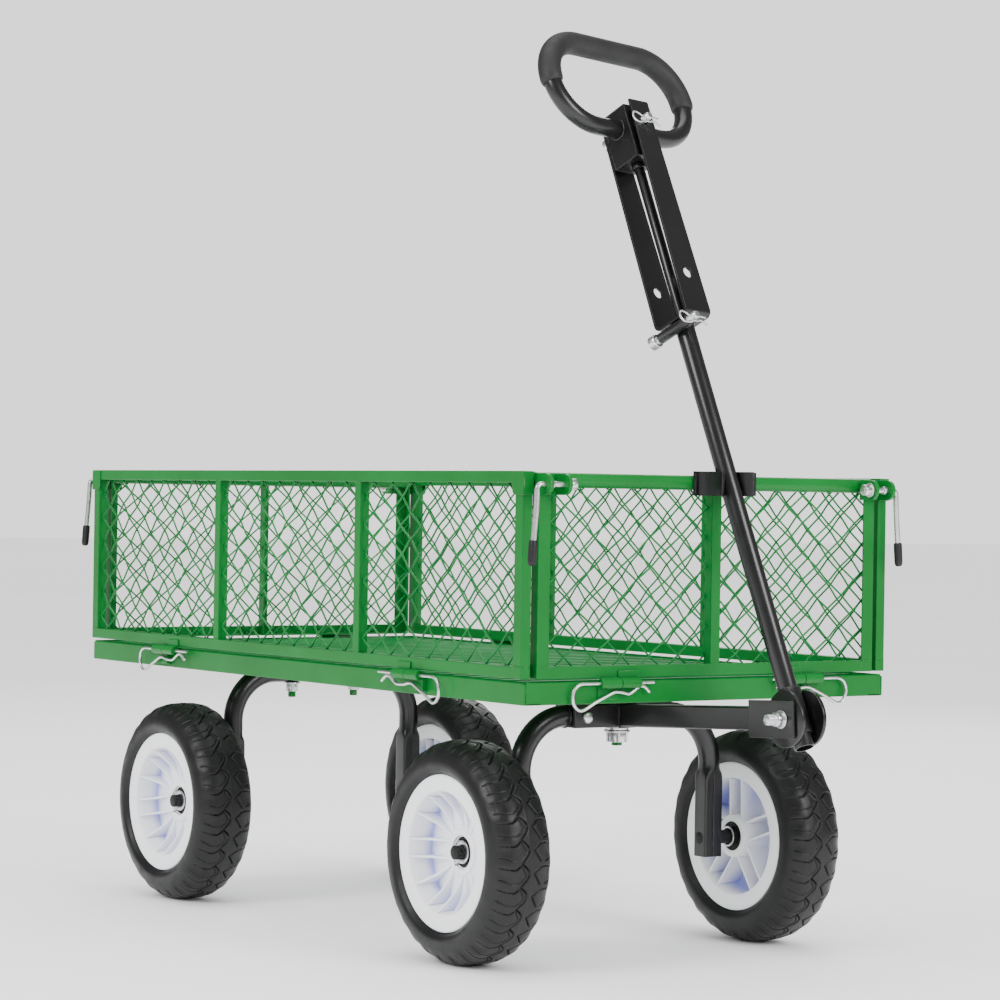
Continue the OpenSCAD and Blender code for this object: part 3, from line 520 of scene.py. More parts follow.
# ------------------------------------------------------------------ panels
def weave(x0, x1, z0, z1, px=39.2, pz=33.0, r=1.12):
    """Woven diamond wire in the plane y = 0: two crossing families that pass over and under each other.

    px and pz are a diamond's width and height; the width gives a little to fit the opening."""
    s = Shape()
    w, h = x1 - x0, z1 - z0
    px = w / (max(1, round(w / px * 2)) / 2)
    half, slope, zc = px / 2, pz / px, z0 + h * 0.5
    k_lo = int(math.floor((-h / 2 - w * slope) / pz)) - 1
    k_hi = int(math.ceil((h / 2 + w * slope) / pz)) + 1
    for sign in (1, -1):
        for k in range(k_lo, k_hi + 1):
            # this wire is z = zc + sign * ((x - x0) * slope + start)
            start = (k + 0.5) * pz
            lo, hi = sorted(x0 + ((z - zc) * sign - start) / slope for z in (z0, z1))
            lo, hi = max(lo, x0), min(hi, x1)
            if hi - lo < 2:
                continue
            steps = range(math.ceil((lo - x0) / half * 2), math.floor((hi - x0) / half * 2) + 1)
            inner = [x0 + i * half / 2 for i in steps]
            wire = []
            for x in [lo] + [x for x in inner if lo + 0.5 < x < hi - 0.5] + [hi]:
                z = zc + sign * ((x - x0) * slope + start)
                q = (x - x0) / half
                over = sign if (round(q) + k) % 2 else -sign
                lift = over * (r + 0.1) if abs(q - round(q)) < 0.25 else 0.0
                wire.append((x + rnd.uniform(-0.1, 0.1), lift, z + rnd.uniform(-0.12, 0.12)))
            s.tube(smooth_path(wire, 3) if len(wire) > 2 else wire, r, 8)
    return s


def side_frame():
    """Bars of the left panel: two rails, flat end posts and angle posts between."""
    s = Shape()
    low, top = PB + RAIL, PT - RAIL
    s.box((-EX, SI, top), (EX, SO, PT))
    s.box((-EX, SI, PB), (EX, SO, low))
    for e in SIDES:
        s.box((e * (EX - 15), SI, low - 0.3), (e * EX, SO - 0.15, top + 0.3))
    for x in (-POST_X, POST_X):
        s.box((x - 6.5, SO - 2, low - 0.3), (x + 6.5, SO - 0.1, top + 0.3))
        s.box((x + 4.5, SI + 0.2, low - 0.3), (x + 6.5, SO - 0.2, top + 0.3))
    return s


def side_details():
    """Corner plates and weld beads of the left panel."""
    plates, welds = Shape(), Shape()
    out, top, foot = EX + 2.7, PT - 0.2, PT - 26
    for e in SIDES:
        poly = [(EX - 19, top), (EX - 19, PT - 20), (EX - 17.6, PT - 23.6), (EX - 14, foot),
                (out, foot), (out, top)]
        if e < 0:
            poly = [(-x, z) for x, z in poly][::-1]
        plates.prism(poly[::-1], -1.6, 0.0, axes((0, SO, 0), *UPRIGHT))
        plates.box((e * EX, SI, foot), (e * out, SO + 0.2, top))
        welds.bead((e * (EX - 15), SO - 0.1, PB + RAIL), (e * (EX - 1), SO - 0.1, PB + RAIL), 0.9)
    for x in (-POST_X, POST_X):
        for z in (PB + RAIL, PT - RAIL):
            welds.bead((x - 6, SO - 0.3, z), (x + 6, SO - 0.3, z), 0.9)
            welds.bead((x + 4.4, SI + 2, z), (x + 4.4, SO - 3, z), 0.9)
    return plates, welds


def side_mesh():
    """Wire in the three openings between the left panel's posts."""
    s = Shape()
    z0, z1 = PB + RAIL + 0.4, PT - RAIL - 0.4
    end = EX - 15
    for x0, x1 in ((-end, -POST_X + 4.5), (-POST_X + 6.5, POST_X + 4.5), (POST_X + 6.5, end)):
        s.join(weave(x0 + 0.5, x1 - 0.5, z0, z1), Matrix.Translation((0, SO - 6.5, 0)))
    return s


RAIL_X, RAIL_Z, RAIL_R = HX - 9.25, PT - 9.25, 8.25    # the end panels' round top rail


def end_frame():
    """Front panel frame without its round rail: angle bars, and a post beside the middle."""
    s = Shape()
    ei, y = HX - RAIL, END_Y - 0.2
    s.box((HX - 2, -y, PB), (HX - 0.1, y, PB + RAIL))
    s.box((ei, -y, PB), (HX - 0.3, y, PB + 2))
    for e in SIDES:
        s.box((HX - 2.1, e * (END_Y - 16), PB + 0.2), (HX, e * END_Y, PT - 10))
        s.box((ei, e * (END_Y - 2), PB + 0.2), (HX - 0.2, e * END_Y, PT - 10))
    s.box((HX - 2.1, -0.5, PB + 0.2), (HX - 0.05, 12.5, PT - 11))
    s.box((ei, -0.5, PB + 0.2), (HX - 0.2, 1.5, PT - 11))
    return s


def end_details():
    """Round rail and weld beads of the front panel."""
    rail, welds = Shape(), Shape()
    rail.tube([(RAIL_X, -END_Y, RAIL_Z), (RAIL_X, END_Y, RAIL_Z)], RAIL_R, 40)
    for e in SIDES:
        welds.bead((HX - 1, e * (END_Y - 15), PT - 17), (HX - 1, e * (END_Y - 1), PT - 17), 1.1)
        welds.bead((HX - 0.3, e * 222.2, PB + RAIL), (HX - 0.3, e * (END_Y - 2), PB + RAIL), 0.8)
    welds.bead((HX - 1, 0, PT - 17), (HX - 1, 12, PT - 17), 1.1)
    welds.bead((HX - 0.3, 0, PB + RAIL), (HX - 0.3, 12, PB + RAIL), 0.8)
    return rail, welds


def end_mesh():
    s = Shape()
    m = axes((RAIL_X - 0.3, 0, 0), (0, 1, 0), (-1, 0, 0), (0, 0, 1))
    for y0, y1 in ((-END_Y + 2, -0.5), (1.5, END_Y - 2)):
        s.join(weave(y0 + 0.5, y1 - 0.5, PB + 2.6, PT - 17.0), m)
    return s


# ------------------------------------------------------------------ hinges
BARREL, HOLE_R, BARREL_R = 26.6, 1.95, 5.9
SIDE_U, END_U = 262.0, 103.0       # where the panels' barrels start, from the middle of their side


def barrel(u0, up, back, reach):
    """Barrel and leaf in the hinge's own frame: pin along +X, panel behind at -Y."""
    s = Shape()
    r, c = BARREL_R, 0.7
    s.lathe([(HOLE_R, 0.2), (2.2, 0), (r - c, 0), (r, c), (r, BARREL - c), (r - c, BARREL), (2.2, BARREL),
             (HOLE_R, BARREL - 0.2)], 36, axes((u0, 0, 0), *ON_X), closed=True)
    lo, hi = (0, reach) if up else (-reach, 0)
    s.box((u0, -back, lo), (u0 + BARREL, -PIN_OFF + 2, hi))
    z = reach if up else -reach
    s.bead((u0 + 1, -back + 0.6, z), (u0 + BARREL - 1, -back + 0.6, z), 1.3)
    return s


def hairpin(u_in, u_eye):
    """Wire pin: straight leg, eye, wavy return leg with a hooked end."""
    n = u_eye - u_in
    eye = [(-12, 0), (-4, 0), (3, -1.6), (8.4, -6), (10.6, -13), (9.4, -21), (4.6, -27.4), (-2, -29)]
    leg = [(-9, -26.4), (-18, -21.6), (-28, -17), (-38, -12.6), (-46, -9.8), (-54, -10.0), (-62, -11.6)]
    hook = [(-0.66 * n, -12.0), (-0.73 * n, -8.6), (-0.80 * n, -4.2), (-0.87 * n, -4.6), (-0.94 * n, -10.4)]
    pts = [(u_in, 0, 0)] + [(u_eye + u, 0, z) for u, z in eye + leg + hook]
    return Shape().tube(smooth_path(pts, 6), 1.8, 14)


def on_sides(s):
    """Hinge part to both ends of the left side."""
    return Shape().join(s, Matrix.Translation((0, SO + PIN_OFF, PIN_Z))).both(0)


def on_end(s):
    """Hinge part to both ends of the front."""
    m = axes((HX + PIN_OFF, 0, PIN_Z), (0, 1, 0), (1, 0, 0), (0, 0, 1))
    return Shape().join(s, m, flip=True).both(1)


left_hinge = on_sides(barrel(SIDE_U, True, PIN_OFF, 13))
front_hinge = on_end(barrel(END_U, True, PIN_OFF, 13))
tray_hinge = on_sides(barrel(SIDE_U + BARREL + 0.6, False, PIN_OFF + 4, 18)).both(1)
tray_hinge.join(on_end(barrel(END_U + BARREL + 0.6, False, PIN_OFF, 18)).both(0))
tray_hinge.join(front_hinge)
for name, leaf, body, node in (
        ("tray", tray_hinge, "cart", "tray_hinges"),
        ("rear", front_hinge.mirrored(0), "rear_panel", "rear_panel_hinges"),
        ("left", left_hinge, "left_panel", "left_panel_hinges"),
        ("right", left_hinge.mirrored(1), "right_panel", "right_panel_hinges")):
    piece(name + "_hinge_leaves", leaf, GREEN, body, [node], bevel=0.5)
pins = on_sides(hairpin(SIDE_U - 33, SIDE_U + 83)).both(1)
pins.join(on_end(hairpin(END_U - 19, END_U + 80)).both(0))
piece("hairpin_wires", pins, ZINC, "cart", ["hinge_hairpins"], sharp=60)

left_bars, (left_plates, left_welds), left_wires = side_frame(), side_details(), side_mesh()
for name in ("left", "right"):
    side = (lambda s: s.mirrored(1)) if name == "right" else (lambda s: s)
    body = name + "_panel"
    piece(body + "_bars", side(left_bars), GREEN, body, [body + "_frame"], bevel=1.1)
    piece(body + "_corner_plates", side(left_plates), GREEN, body, bevel=0.5)
    piece(body + "_welds", side(left_welds), GREEN, body, sharp=80)
    piece(body + "_wires", side(left_wires), WIRE_GREEN_PAINTED_HIGHLIGHT, body, [body + "_mesh"], sharp=80)

front_bars, (front_rail, front_welds), front_wires = end_frame(), end_details(), end_mesh()
for name, body in (("front", "cart"), ("rear", "rear_panel")):
    side = (lambda s: s.mirrored(0)) if name == "rear" else (lambda s: s)
    panel = name + "_panel"
    piece(panel + "_bars", side(front_bars), GREEN, body, [panel + "_frame"], bevel=0.7)
    piece(panel + "_rail", side(front_rail), GREEN, body, bevel=0.6)
    piece(panel + "_welds", side(front_welds), GREEN, body, sharp=80)
    piece(panel + "_wires", side(front_wires), WIRE_GREEN_PAINTED_HIGHLIGHT, body, [panel + "_mesh"], sharp=80)


# ------------------------------------------------------------------ latches (the front left one; others are mirrored)
LUG_R, LEVER_R = 11.5, 3.15


def latch_lugs():
    s = Shape()
    arc = [math.radians(a) for a in range(-90, 91, 12)]
    poly = [(HX + 2, LZ - LUG_R)] + [(LX + LUG_R * math.cos(a), LZ + LUG_R * math.sin(a)) for a in arc]
    poly += [(HX + 2, LZ + LUG_R)]
    for y in (215.0, 239.6):
        s.prism(poly, -4.0, 0.0, axes((0, y, 0), *UPRIGHT))
    s.box((HX, 215, LZ - LUG_R), (HX + 3, 243.6, LZ + LUG_R))
    return s.bead((HX + 3.2, 219.6, LZ - 10), (HX + 3.2, 219.6, LZ + 10), 1.0)


def latch_lever():
    """Rod through the lugs, bent down outside them."""
    pts = [(LX, y, LZ) for y in (203, 225, 246)]
    for i in range(9):
        a = math.pi / 2 * (1 - i / 8)
        pts.append((LX, 248 + 6 * math.cos(a), LZ - 6 + 6 * math.sin(a)))
    pts += [(LX, y, LZ - d) for y, d in ((254.6, 20), (255.6, 34), (257.0, 50), (258, 61), (258.3, 66))]
    return Shape().tube(smooth_path(pts, 4), LEVER_R, 20)


def latch_nut():
    s, m = Shape(), axes((LX, 0, LZ), *ON_Y)
    s.hexa(6.8, 204, 213, m)
    s.cyl(8.4, 212.4, 214.6, 30, 0.4, m)
    return s.cyl(4.6, 233.2, 239.2, 24, 0.5, m)


def latch_tip():
    m = toward((LX, 258.0, LZ - 60.6), (LX, 260.0, LZ - 88))
    return Shape().lathe([(3.2, 0), (4.2, 0.2), (4.7, 1.4), (4.9, 6), (4.8, 22), (4.3, 25.6), (3.0, 27.2),
                          (0.6, 27.5)], 28, m)


lugs, lever, nut, tip = latch_lugs(), latch_lever(), latch_nut(), latch_tip()
for name, body, nodes in (("front_left", "cart", []), ("front_right", "cart", ["front_latch_brackets"]),
                          ("rear_left", "rear_panel", []),
                          ("rear_right", "rear_panel", ["rear_latch_brackets"])):
    def place(s, name=name):
        s = s.mirrored(0) if "rear" in name else s
        return s.mirrored(1) if "right" in name else s
    latch = name + "_latch"
    piece(latch + "_lugs", place(lugs), GREEN, body, nodes, bevel=0.5)
    piece(latch + "_rod", place(lever), ZINC, latch, [latch + "_lever"], sharp=60)
    piece(latch + "_nut", place(nut), ZINC, latch, bevel=0.3)
    piece(latch + "_grip", place(tip), TIP, latch, [latch + "_tip"], sharp=60)


# ------------------------------------------------------------------ pole clip on the front rail
def rail_clip():
    """Base plate and two sprung jaws that take the pole."""
    s = Shape()
    z0, z1 = 533.4, 560.6
    s.box((508.1, -29, z0), (510.2, 29, z1))
    jaw = [(508.4, 24), (512, 20), (519, 16.4), (528, 14.0), (536, 13.6), (543, 14.4), (549, 18.0), (552, 23.0)]
    for e in SIDES:
        outer = [(x, e * y) for x, y in jaw]
        inner = [(x + (0.4 if i < 4 else -0.6), e * (y - 2.0)) for i, (x, y) in enumerate(jaw)]
        poly = outer + inner[::-1]
        s.prism(poly[::-1] if e > 0 else poly, z0, z1)
    s.box((541, 14.6, 534.0), (543.2, 33, 560.0))
    for e in SIDES:
        s.bead((510.6, e * 27, 536), (510.6, e * 27, 558), 1.0)
    return s


piece("rail_pole_clip", rail_clip(), BLACK, "cart", ["pole_clip"], bevel=0.7)

# ------------------------------------------------------------------ axles
TUBE_R, BEND_R, BEND_Y, LEG = 12.7, 62.0, 75.0, 137.0   # axle tube, its bend, and the legs' distance out
REAR_Z, FRONT_Z = 291.2, 277.25                         # height of the two axle tubes
SQUARE_FROM, SQUARE_LEN = 210.0, 18.0                   # where a leg turns from round to square
BORE = 8.1                                              # holes that clear the 16 mm spindles and kingpin
REAR, FRONT = Matrix.Translation((-AX, 0, 0)), Matrix.Translation((AX, 0, 0))


def arch_arm(zc, start):
    """Tube from y = start round the bend and down, flattened into its squared foot. x = 0, +Y side."""
    p = [Vector((0, start, zc))]
    for i in range(17):
        a = math.pi / 2 * (1 - i / 16)
        p.append(Vector((0, BEND_Y + BEND_R * math.cos(a), zc - BEND_R + BEND_R * math.sin(a))))
    p += [Vector((0, LEG, z)) for z in (211, 208, 205, 202, 199, 196, 192, 188, 160, 130, 106, 105)]
    n, k = 40, len(p)
    u = Vector((1, 0, 0))
    v = []
    for i, q in enumerate(p):
        w = (p[min(i + 1, k - 1)] - p[max(i - 1, 0)]).normalized().cross(u)
        sq = min(1.0, max(0.0, (SQUARE_FROM - q.z) / SQUARE_LEN)) if q.y > 130 else 0.0
        sq = sq * sq * (3 - 2 * sq)
        power = 1 / (1.0 + 5.0 * sq)
        for j in range(n):
            c, d = math.cos(2 * math.pi * j / n), math.sin(2 * math.pi * j / n)
            v.append(q + u * (math.copysign(abs(c) ** power, c) * (TUBE_R - 1.7 * sq))
                     + w * (math.copysign(abs(d) ** power, d) * (TUBE_R + 0.3 * sq)))
    f = [(i * n + j, i * n + (j + 1) % n, (i + 1) * n + (j + 1) % n, (i + 1) * n + j)
         for i in range(k - 1) for j in range(n)]
    f += [tuple(range(n))[::-1], tuple((k - 1) * n + j for j in range(n))]
    return Shape().add(v, f)


def seam(zc):
    """Pressed seam line down the front of a leg."""
    return Shape().tube([(11.4, LEG - 1.0, z) for z in (zc - BEND_R, 190, 170, 150, 120, 106)], 0.8, 6)


def spindle():
    """Spindle with its collar and nut, and the bright washers and split pin on it."""
    s, w = Shape(), Shape()
    m = axes((0, 0, WHEEL_R), *ON_Y)
    s.cyl(8.0, LEG - 13, 219.5, 40, 0.8, m)
    s.cyl(11.4, 167.2, 172.4, 40, 0.6, m)
    w.cyl(12.2, 165.8, 167.4, 40, 0.4, m, bore=9.8)
    s.ring_bead(8.6, LEG + 13.4, 1.4, m)
    s.hexa(8.6, 216.6, 225.6, m)
    w.cyl(13.2, 213.2, 215.4, 40, 0.5, m, bore=BORE)
    w.tube([(0, 219.6, 113.5), (0, 219.6, 140.5)], 1.35, 10)
    for prong in ([(0, 219.6, 139), (1.5, 221.5, 141.2), (2, 224, 139.5), (0.6, 225.6, 136)],
                  [(0, 219.6, 115), (1.6, 222, 112.4), (2.4, 225.2, 113.6)]):
        w.tube(smooth_path(prong, 4), 1.2, 10)
    return s.both(1), w.both(1)


def axle_tube(zc, start, at):
    return Shape().join(arch_arm(zc, start).both(1), at).join(seam(zc).both(1), at)


spindles, washers = spindle()
piece("rear_arch_tube", axle_tube(REAR_Z, 0.0, REAR), BLACK, "cart", ["rear_axle_arch"], sharp=50)
piece("rear_spindle_bars", Shape().join(spindles, REAR), MATTE, "cart", ["rear_spindles"], bevel=0.3)
piece("rear_washers", Shape().join(washers, REAR), ZINC, "cart", sharp=50)
arms = axle_tube(FRONT_Z, 73.5, FRONT)
for e in SIDES:
    arms.ring_bead(12.9, 0, 1.6, axes((AX, e * 75.4, FRONT_Z), *ON_Y))
piece("front_arm_tubes", arms, BLACK, "steering", ["front_axle_arms"], sharp=50)
piece("front_spindle_bars", Shape().join(spindles, FRONT), MATTE, "steering", ["front_spindles"], bevel=0.3)
piece("front_washers", Shape().join(washers, FRONT), ZINC, "steering", sharp=50)


def clamp_bolts():
    """Nuts, washers and heads of the two bolts that hold the rear arch, and their painted ends."""
    nuts, ends = Shape(), Shape()
    for y in (-48, 48):
        m = Matrix.Translation((-AX, y, 0))
        nuts.cyl(10.6, 276.4, 278.3, 36, 0.4, m)
        nuts.hexa(8.4, 266, 276.8, m)
        nuts.cyl(8, 323, 324.2, 30, 0.4, m)
        ends.cyl(5.0, 258.5, 267, 24, 0.6, m)
        for z in range(259, 267):
            ends.ring_bead(4.9, z + 0.4, 0.35, m, 20)
    return nuts, ends


def kingpin():
    """Nut, washers, shank and head of the kingpin, and its painted end."""
    s, end = Shape(), Shape()
    s.hexa(13.4, 245.2, 257, FRONT)
    s.cyl(15.4, 256.8, 259.2, 44, 0.5, FRONT)
    s.cyl(13.6, 259.2, 263.5, 44, 0.5, FRONT)
    s.cyl(8.0, 257, 323.2, 32, 0.5, FRONT)
    s.cyl(14, 323, 324.2, 36, 0.4, FRONT)
    end.cyl(6.0, 241.1, 246, 28, 0.7, FRONT)
    for z in range(241, 245):
        end.ring_bead(5.9, z + 0.9, 0.4, FRONT, 24)
    return s, end


clamp_nuts, clamp_ends = clamp_bolts()
piece("rear_clamp_nuts", clamp_nuts, ZINC, "cart", ["rear_axle_bolts"], bevel=0.3)
piece("rear_clamp_ends", clamp_ends, GREEN, "cart", sharp=60)
king, king_end = kingpin()
piece("kingpin_nut", king, ZINC, "cart", ["kingpin"], bevel=0.3)
piece("kingpin_end", king_end, GREEN, "cart", sharp=60)
spacer = Shape().cyl(23.9, 290.9, Z0, 64, 1.2, FRONT, bore=BORE)
piece("kingpin_collar", spacer, MATTE, "cart", ["kingpin_spacer"], sharp=50)

# ------------------------------------------------------------------ steering bracket and drawbar
BR_X, BR_Y, BR_Z, BR_T = 20.0, 75.0, (264.0, 290.5), 3.0    # half depth, half width, height, sheet
BAR_RISE = math.radians(3)                                  # the drawbar's rise towards the front
BAR = axes(PIVOT, (math.cos(BAR_RISE), 0, math.sin(BAR_RISE)), (0, 1, 0),
           (-math.sin(BAR_RISE), 0, math.cos(BAR_RISE)))
BAR_Y, BAR_Z = 12.5, 13.0


def steer_bracket():
    s = Shape()
    z0, z1 = BR_Z
    x = BR_X - 2
    s.box((AX - BR_X, -BR_Y, z0), (AX - BR_X + BR_T, BR_Y, z1))
    s.box((AX + BR_X - BR_T, -BR_Y, z0), (AX + BR_X, BR_Y, z1))
    s.box((AX - x, -BR_Y, z1 - BR_T), (AX + x, BR_Y, z1 - 0.1))
    s.box((AX - x, -BR_Y, z0 + 0.1), (AX + x, -BR_Y + BR_T, z1 - 1.5))
    s.box((AX - x, BR_Y - BR_T, z0 + 0.1), (AX + x, BR_Y, z1 - 1.5))
    return s.box((AX - x, -BR_Y + BR_T, z0 + 0.1), (AX + x, BR_Y - BR_T, z0 + BR_T))


def steer_fasteners():
    """Two domed bracket bolts, and the handle's pivot bolt with nuts, washers and thread."""
    s = Shape()
    for y in (-57, 57):
        m = axes((0, y, 276.25), *ON_X)
        s.lathe([(7.0, 353.2), (7.0, 354.2), (6.2, 356.0), (4.4, 357.1), (2.0, 357.4), (0.2, 357.4)], 36, m)
        s.cyl(4, 307, 354, 24, 0.4, m)
        s.hexa(6.8, 307.4, 313, m)
    m = axes((PIVOT.x, 0, PIVOT.z), *ON_Y)
    s.hexa(8.4, -30, -22.3, m)
    s.cyl(10, -22.5, -20.6, 40, 0.4, m)
    s.cyl(10, 20.6, 22.5, 40, 0.4, m)
    s.hexa(8.4, 22.3, 30, m)
    s.cyl(5.6, -41.4, 24, 28, 0.8, m)
    for i in range(11):
        s.ring_bead(5.65, -40.6 + i * 0.9, 0.32, m, 24)
    return s


def drawbar_welds():
    """Beads round the bar where it meets the bracket, and along it at the clevis."""
    s = Shape()
    x = AX + BR_X
    for e in SIDES:
        s.bead((x + 0.4, e * 12.4, 264.6), (x + 0.4, e * 12.4, 289.5), 1.0)
    s.bead((x + 0.6, -12, 290), (x + 0.6, 12, 290), 1.5)
    s.bead((x + 0.6, -12, 264.2), (x + 0.6, 12, 264.2), 1.5)
    for e in SIDES:
        for z in (BAR_Z + 0.2, -BAR_Z - 0.2):
            s.bead((-57, e * 12.8, z), (-40, e * 12.8, z), 1.3, BAR)
    return s


def clevis():
    """Two cheeks round the handle's socket, with packing to the bar."""
    s = Shape()
    for e in SIDES:
        poly = [(-57, -20.5), (18.0, -20.5), (20.5, -18.0), (20.5, 18.0), (18.0, 20.5), (-57, 20.5)]
        lo, hi = (17.5, 20.5) if e > 0 else (-20.5, -17.5)
        s.prism(poly, -hi, -lo, BAR @ axes((0, 0, 0), *UPRIGHT))
        s.box((-57, e * 12.4, -BAR_Z), (-40, e * 17.6, BAR_Z), BAR)
    return s


drawbar = Shape().box((-306.2, -BAR_Y, -BAR_Z), (-52, BAR_Y, BAR_Z), BAR)
piece("steer_bracket_plate", steer_bracket(), BLACK, "steering", ["steer_bracket"], bevel=1.2)
piece("steer_fasteners", steer_fasteners(), ZINC, "steering", ["steer_bolts"], bevel=0.25)
piece("drawbar_tube", drawbar, BLACK, "steering", ["drawbar"], bevel=2.2, seg=3)
piece("drawbar_welds", drawbar_welds(), BLACK, "steering", sharp=80)
piece("clevis_cheeks", clevis(), BLACK, "steering", ["clevis_plates"], bevel=0.6)

# ------------------------------------------------------------------ handle (z runs up the pole from the pivot)
POLE_R, POLE_TOP = 11.0, 482.4
YOKE_TOP, YOKE_BASE, YOKE_HALF, YOKE_W, YOKE_T = 764.0, 482.5, 27.0, 20.0, 3.0
YOKE_BEND = 6.5
SPARE_Y, SPARE_Z, TOP_PIN_Z, LOW_HOLE_Z = -17.2, 474.6, 738.0, 536.0
BLOCK_Z = (692.0, 760.0)
LOOP_Z, LOOP_R, LOOP_Y = 791.5, 55.5, 50.5             # the loop's middle, end radius and half straight


def across(y, z):
    """Frame at a place on the handle, its z axis through both yoke plates."""
    return HEAD @ axes((0, y, z), *ON_X)


def pole():
    r, c = POLE_R, 0.4
    return Shape().lathe([(9.5, -34), (r - c, -34), (r, -33.4), (r, POLE_TOP), (9.5, POLE_TOP)], 56, POLE, closed=True)


def socket():
    """Sleeve at the foot of the pole, between two round cheeks."""
    s = Shape()
    s.lathe([(11.05, -19), (13.4, -19), (14, -18.4), (14, 32.4), (13.4, 33), (11.05, 33)], 52, POLE, closed=True)
    for lo, hi in ((-17.0, -12.5), (12.5, 17.0)):
        s.cyl(31, lo, hi, 72, 0.8, POLE @ axes((0, 0, 0), *ON_Y))
    return s.ring_bead(11.6, 33.2, 1.2, POLE)


def yoke_shape():
    """U strap: two plates, narrower towards the top, and a rounded base."""
    mid, r, z = YOKE_HALF - YOKE_T / 2, YOKE_BEND, YOKE_BASE + 8
    path = [(-mid, YOKE_TOP), (-mid, z)]
    for side, first in ((-1, 180), (1, 270)):
        for i in range(1, 8):
            a = math.radians(first + 90 * i / 8)
            path.append((side * (mid - r) + r * math.cos(a), z + r * math.sin(a)))
        if side < 0:
            path += [(-mid + r, YOKE_BASE + 1.5), (mid - r, YOKE_BASE + 1.5)]
    path += [(mid, z), (mid, YOKE_TOP)]
    k = len(path)
    v = []
    for i, (x, h) in enumerate(path):
        t = (Vector(path[min(i + 1, k - 1)]) - Vector(path[max(i - 1, 0)])).normalized()
        w = YOKE_W - (5.0 if i in (0, k - 1) else 0.0)
        v += [(x - t.y * d, y, h + t.x * d) for d in (YOKE_T / 2, -YOKE_T / 2) for y in (-w, w)]
    f = []
    for a, b in zip(range(0, 4 * k - 4, 4), range(4, 4 * k, 4)):
        f += [(a, a + 1, b + 1, b), (a + 2, b + 2, b + 3, a + 3), (a, b, b + 2, a + 2), (a + 1, a + 3, b + 3, b + 1)]
    last = 4 * k - 4
    return Shape().add(v, f + [(0, 2, 3, 1), (last, last + 1, last + 3, last + 2)], HEAD)


def yoke_strap():
    """The strap's piece, with its two pairs of pin holes cut through."""
    o = piece("yoke_strap", yoke_shape(), BLACK, "handle", ["tow_yoke"])
    cut = Shape()
    for z in (LOW_HOLE_Z, TOP_PIN_Z):
        cut.lathe([(6.3, -40), (6.3, 40)], 40, across(0, z))
    cut_mesh = bpy.data.meshes.new("cut")
    cut_mesh.from_pydata([(x * MM, y * MM, z * MM) for x, y, z in cut.v], [], cut.f)
    cutter = bpy.data.objects.new("cut", cut_mesh)
    bpy.context.scene.collection.objects.link(cutter)
    holes = o.modifiers.new("holes", "BOOLEAN")
    holes.object = cutter
    holes.solver = "EXACT"
    bpy.context.view_layer.update()
    done = bpy.data.meshes.new_from_object(o.evaluated_get(bpy.context.evaluated_depsgraph_get()))
    o.modifiers.clear()
    o.data = done
    bpy.data.objects.remove(cutter)
    shade(done, 30)
    round_edges(o, 0.5)


def yoke_sleeve():
    """Cross sleeve that holds the spare pin under the yoke."""
    s = Shape()
    s.lathe([(4.9, -24), (6.2, -24), (6.5, -23.6), (6.5, 23.6), (6.2, 24), (4.9, 24)], 36,
            across(SPARE_Y, SPARE_Z), closed=True)
    s.ring_bead(11.6, 481.4, 1.5, HEAD)
    for x in (-7, 0, 7):
        s.bead((x - 3.4, -11.4, 479.6), (x + 3.4, -11.4, 479.6), 1.1, HEAD)
    return s


def pins_and_clips():
    """The spare pin and the top pin, each with its sprung wire clip."""
    pin, clip = Shape(), Shape()
    wire = ((-17, -0.6), (-9, 0), (4, 0), (9, -0.2), (14, 2.4), (19, 3.6), (23, 0.6), (23.6, -4.4), (20.4, -8.6),
            (14.6, -9.4), (9.4, -7.8), (4.4, -6.4), (-1, -6.6), (-6, -5.2), (-11, -6.4), (-17, -9.8))
    for y, z in ((SPARE_Y, SPARE_Z), (0.0, TOP_PIN_Z)):
        m = across(y, z)
        pin.lathe([(8.5, -37.6), (8.5, -30), (7.6, -28.4), (4.8, -28.2), (4.8, 36), (3.6, 38), (0.2, 38)], 36, m)
        pin.lathe([(0.3, -38), (7.6, -38), (8.5, -37.4)], 36, m)
        clip.tube(smooth_path([(33.4, y - u, z + w) for u, w in wire], 6), 1.2, 12, m=HEAD)
    return pin, clip


def slide_rod():
    return Shape().cyl(6.0, 440, 690, 36, 0.5, HEAD).cyl(8.0, 686, 692.4, 36, 0.9, HEAD)


def handle_block():
    """Folded box under the loop, with a raised frame round each open face."""
    s = Shape()
    z0, z1 = BLOCK_Z
    for a, b in (((-20, -19, z0), (-17.4, 19, z1)), ((17.4, -19, z0), (20, 19, z1)),
                 ((-18, -18.9, z0), (18, -16.4, z1)), ((-18, 16.4, z0), (18, 18.9, z1)),
                 ((-18, -17, z0 + 0.2), (18, 17, z0 + 3)), ((-18, -17, z1 - 3.4), (18, 17, z1 - 0.4))):
        s.box(a, b, HEAD)
    for e in SIDES:
        for x0, x1, h0, h1 in ((-20, 20, z0, z0 + 2.2), (-20, 20, z1 - 2.2, z1), (-20, -17.8, z0, z1),
                               (17.8, 20, z0, z1)):
            s.box((x0, e * 18.7, h0), (x1, e * 19.7, h1), HEAD)
    return s


def loop_arc(side, first, sweep, steps):
    """Points round one end of the loop."""
    turns = [math.radians(first + sweep * i / steps) for i in range(steps + 1)]
    return [(0, side * LOOP_Y + LOOP_R * math.cos(a), LOOP_Z + LOOP_R * math.sin(a)) for a in turns]


def loop_bar():
    s = Shape().tube(loop_arc(1, -90, 180, 24) + loop_arc(-1, 90, 180, 24), 10.75, 40, closed=True, m=HEAD)
    for e in SIDES:
        s.ring_bead(11.4, 19.2 * e, 1.5, HEAD @ axes((0, 0, 736), *ON_Y))
    return s


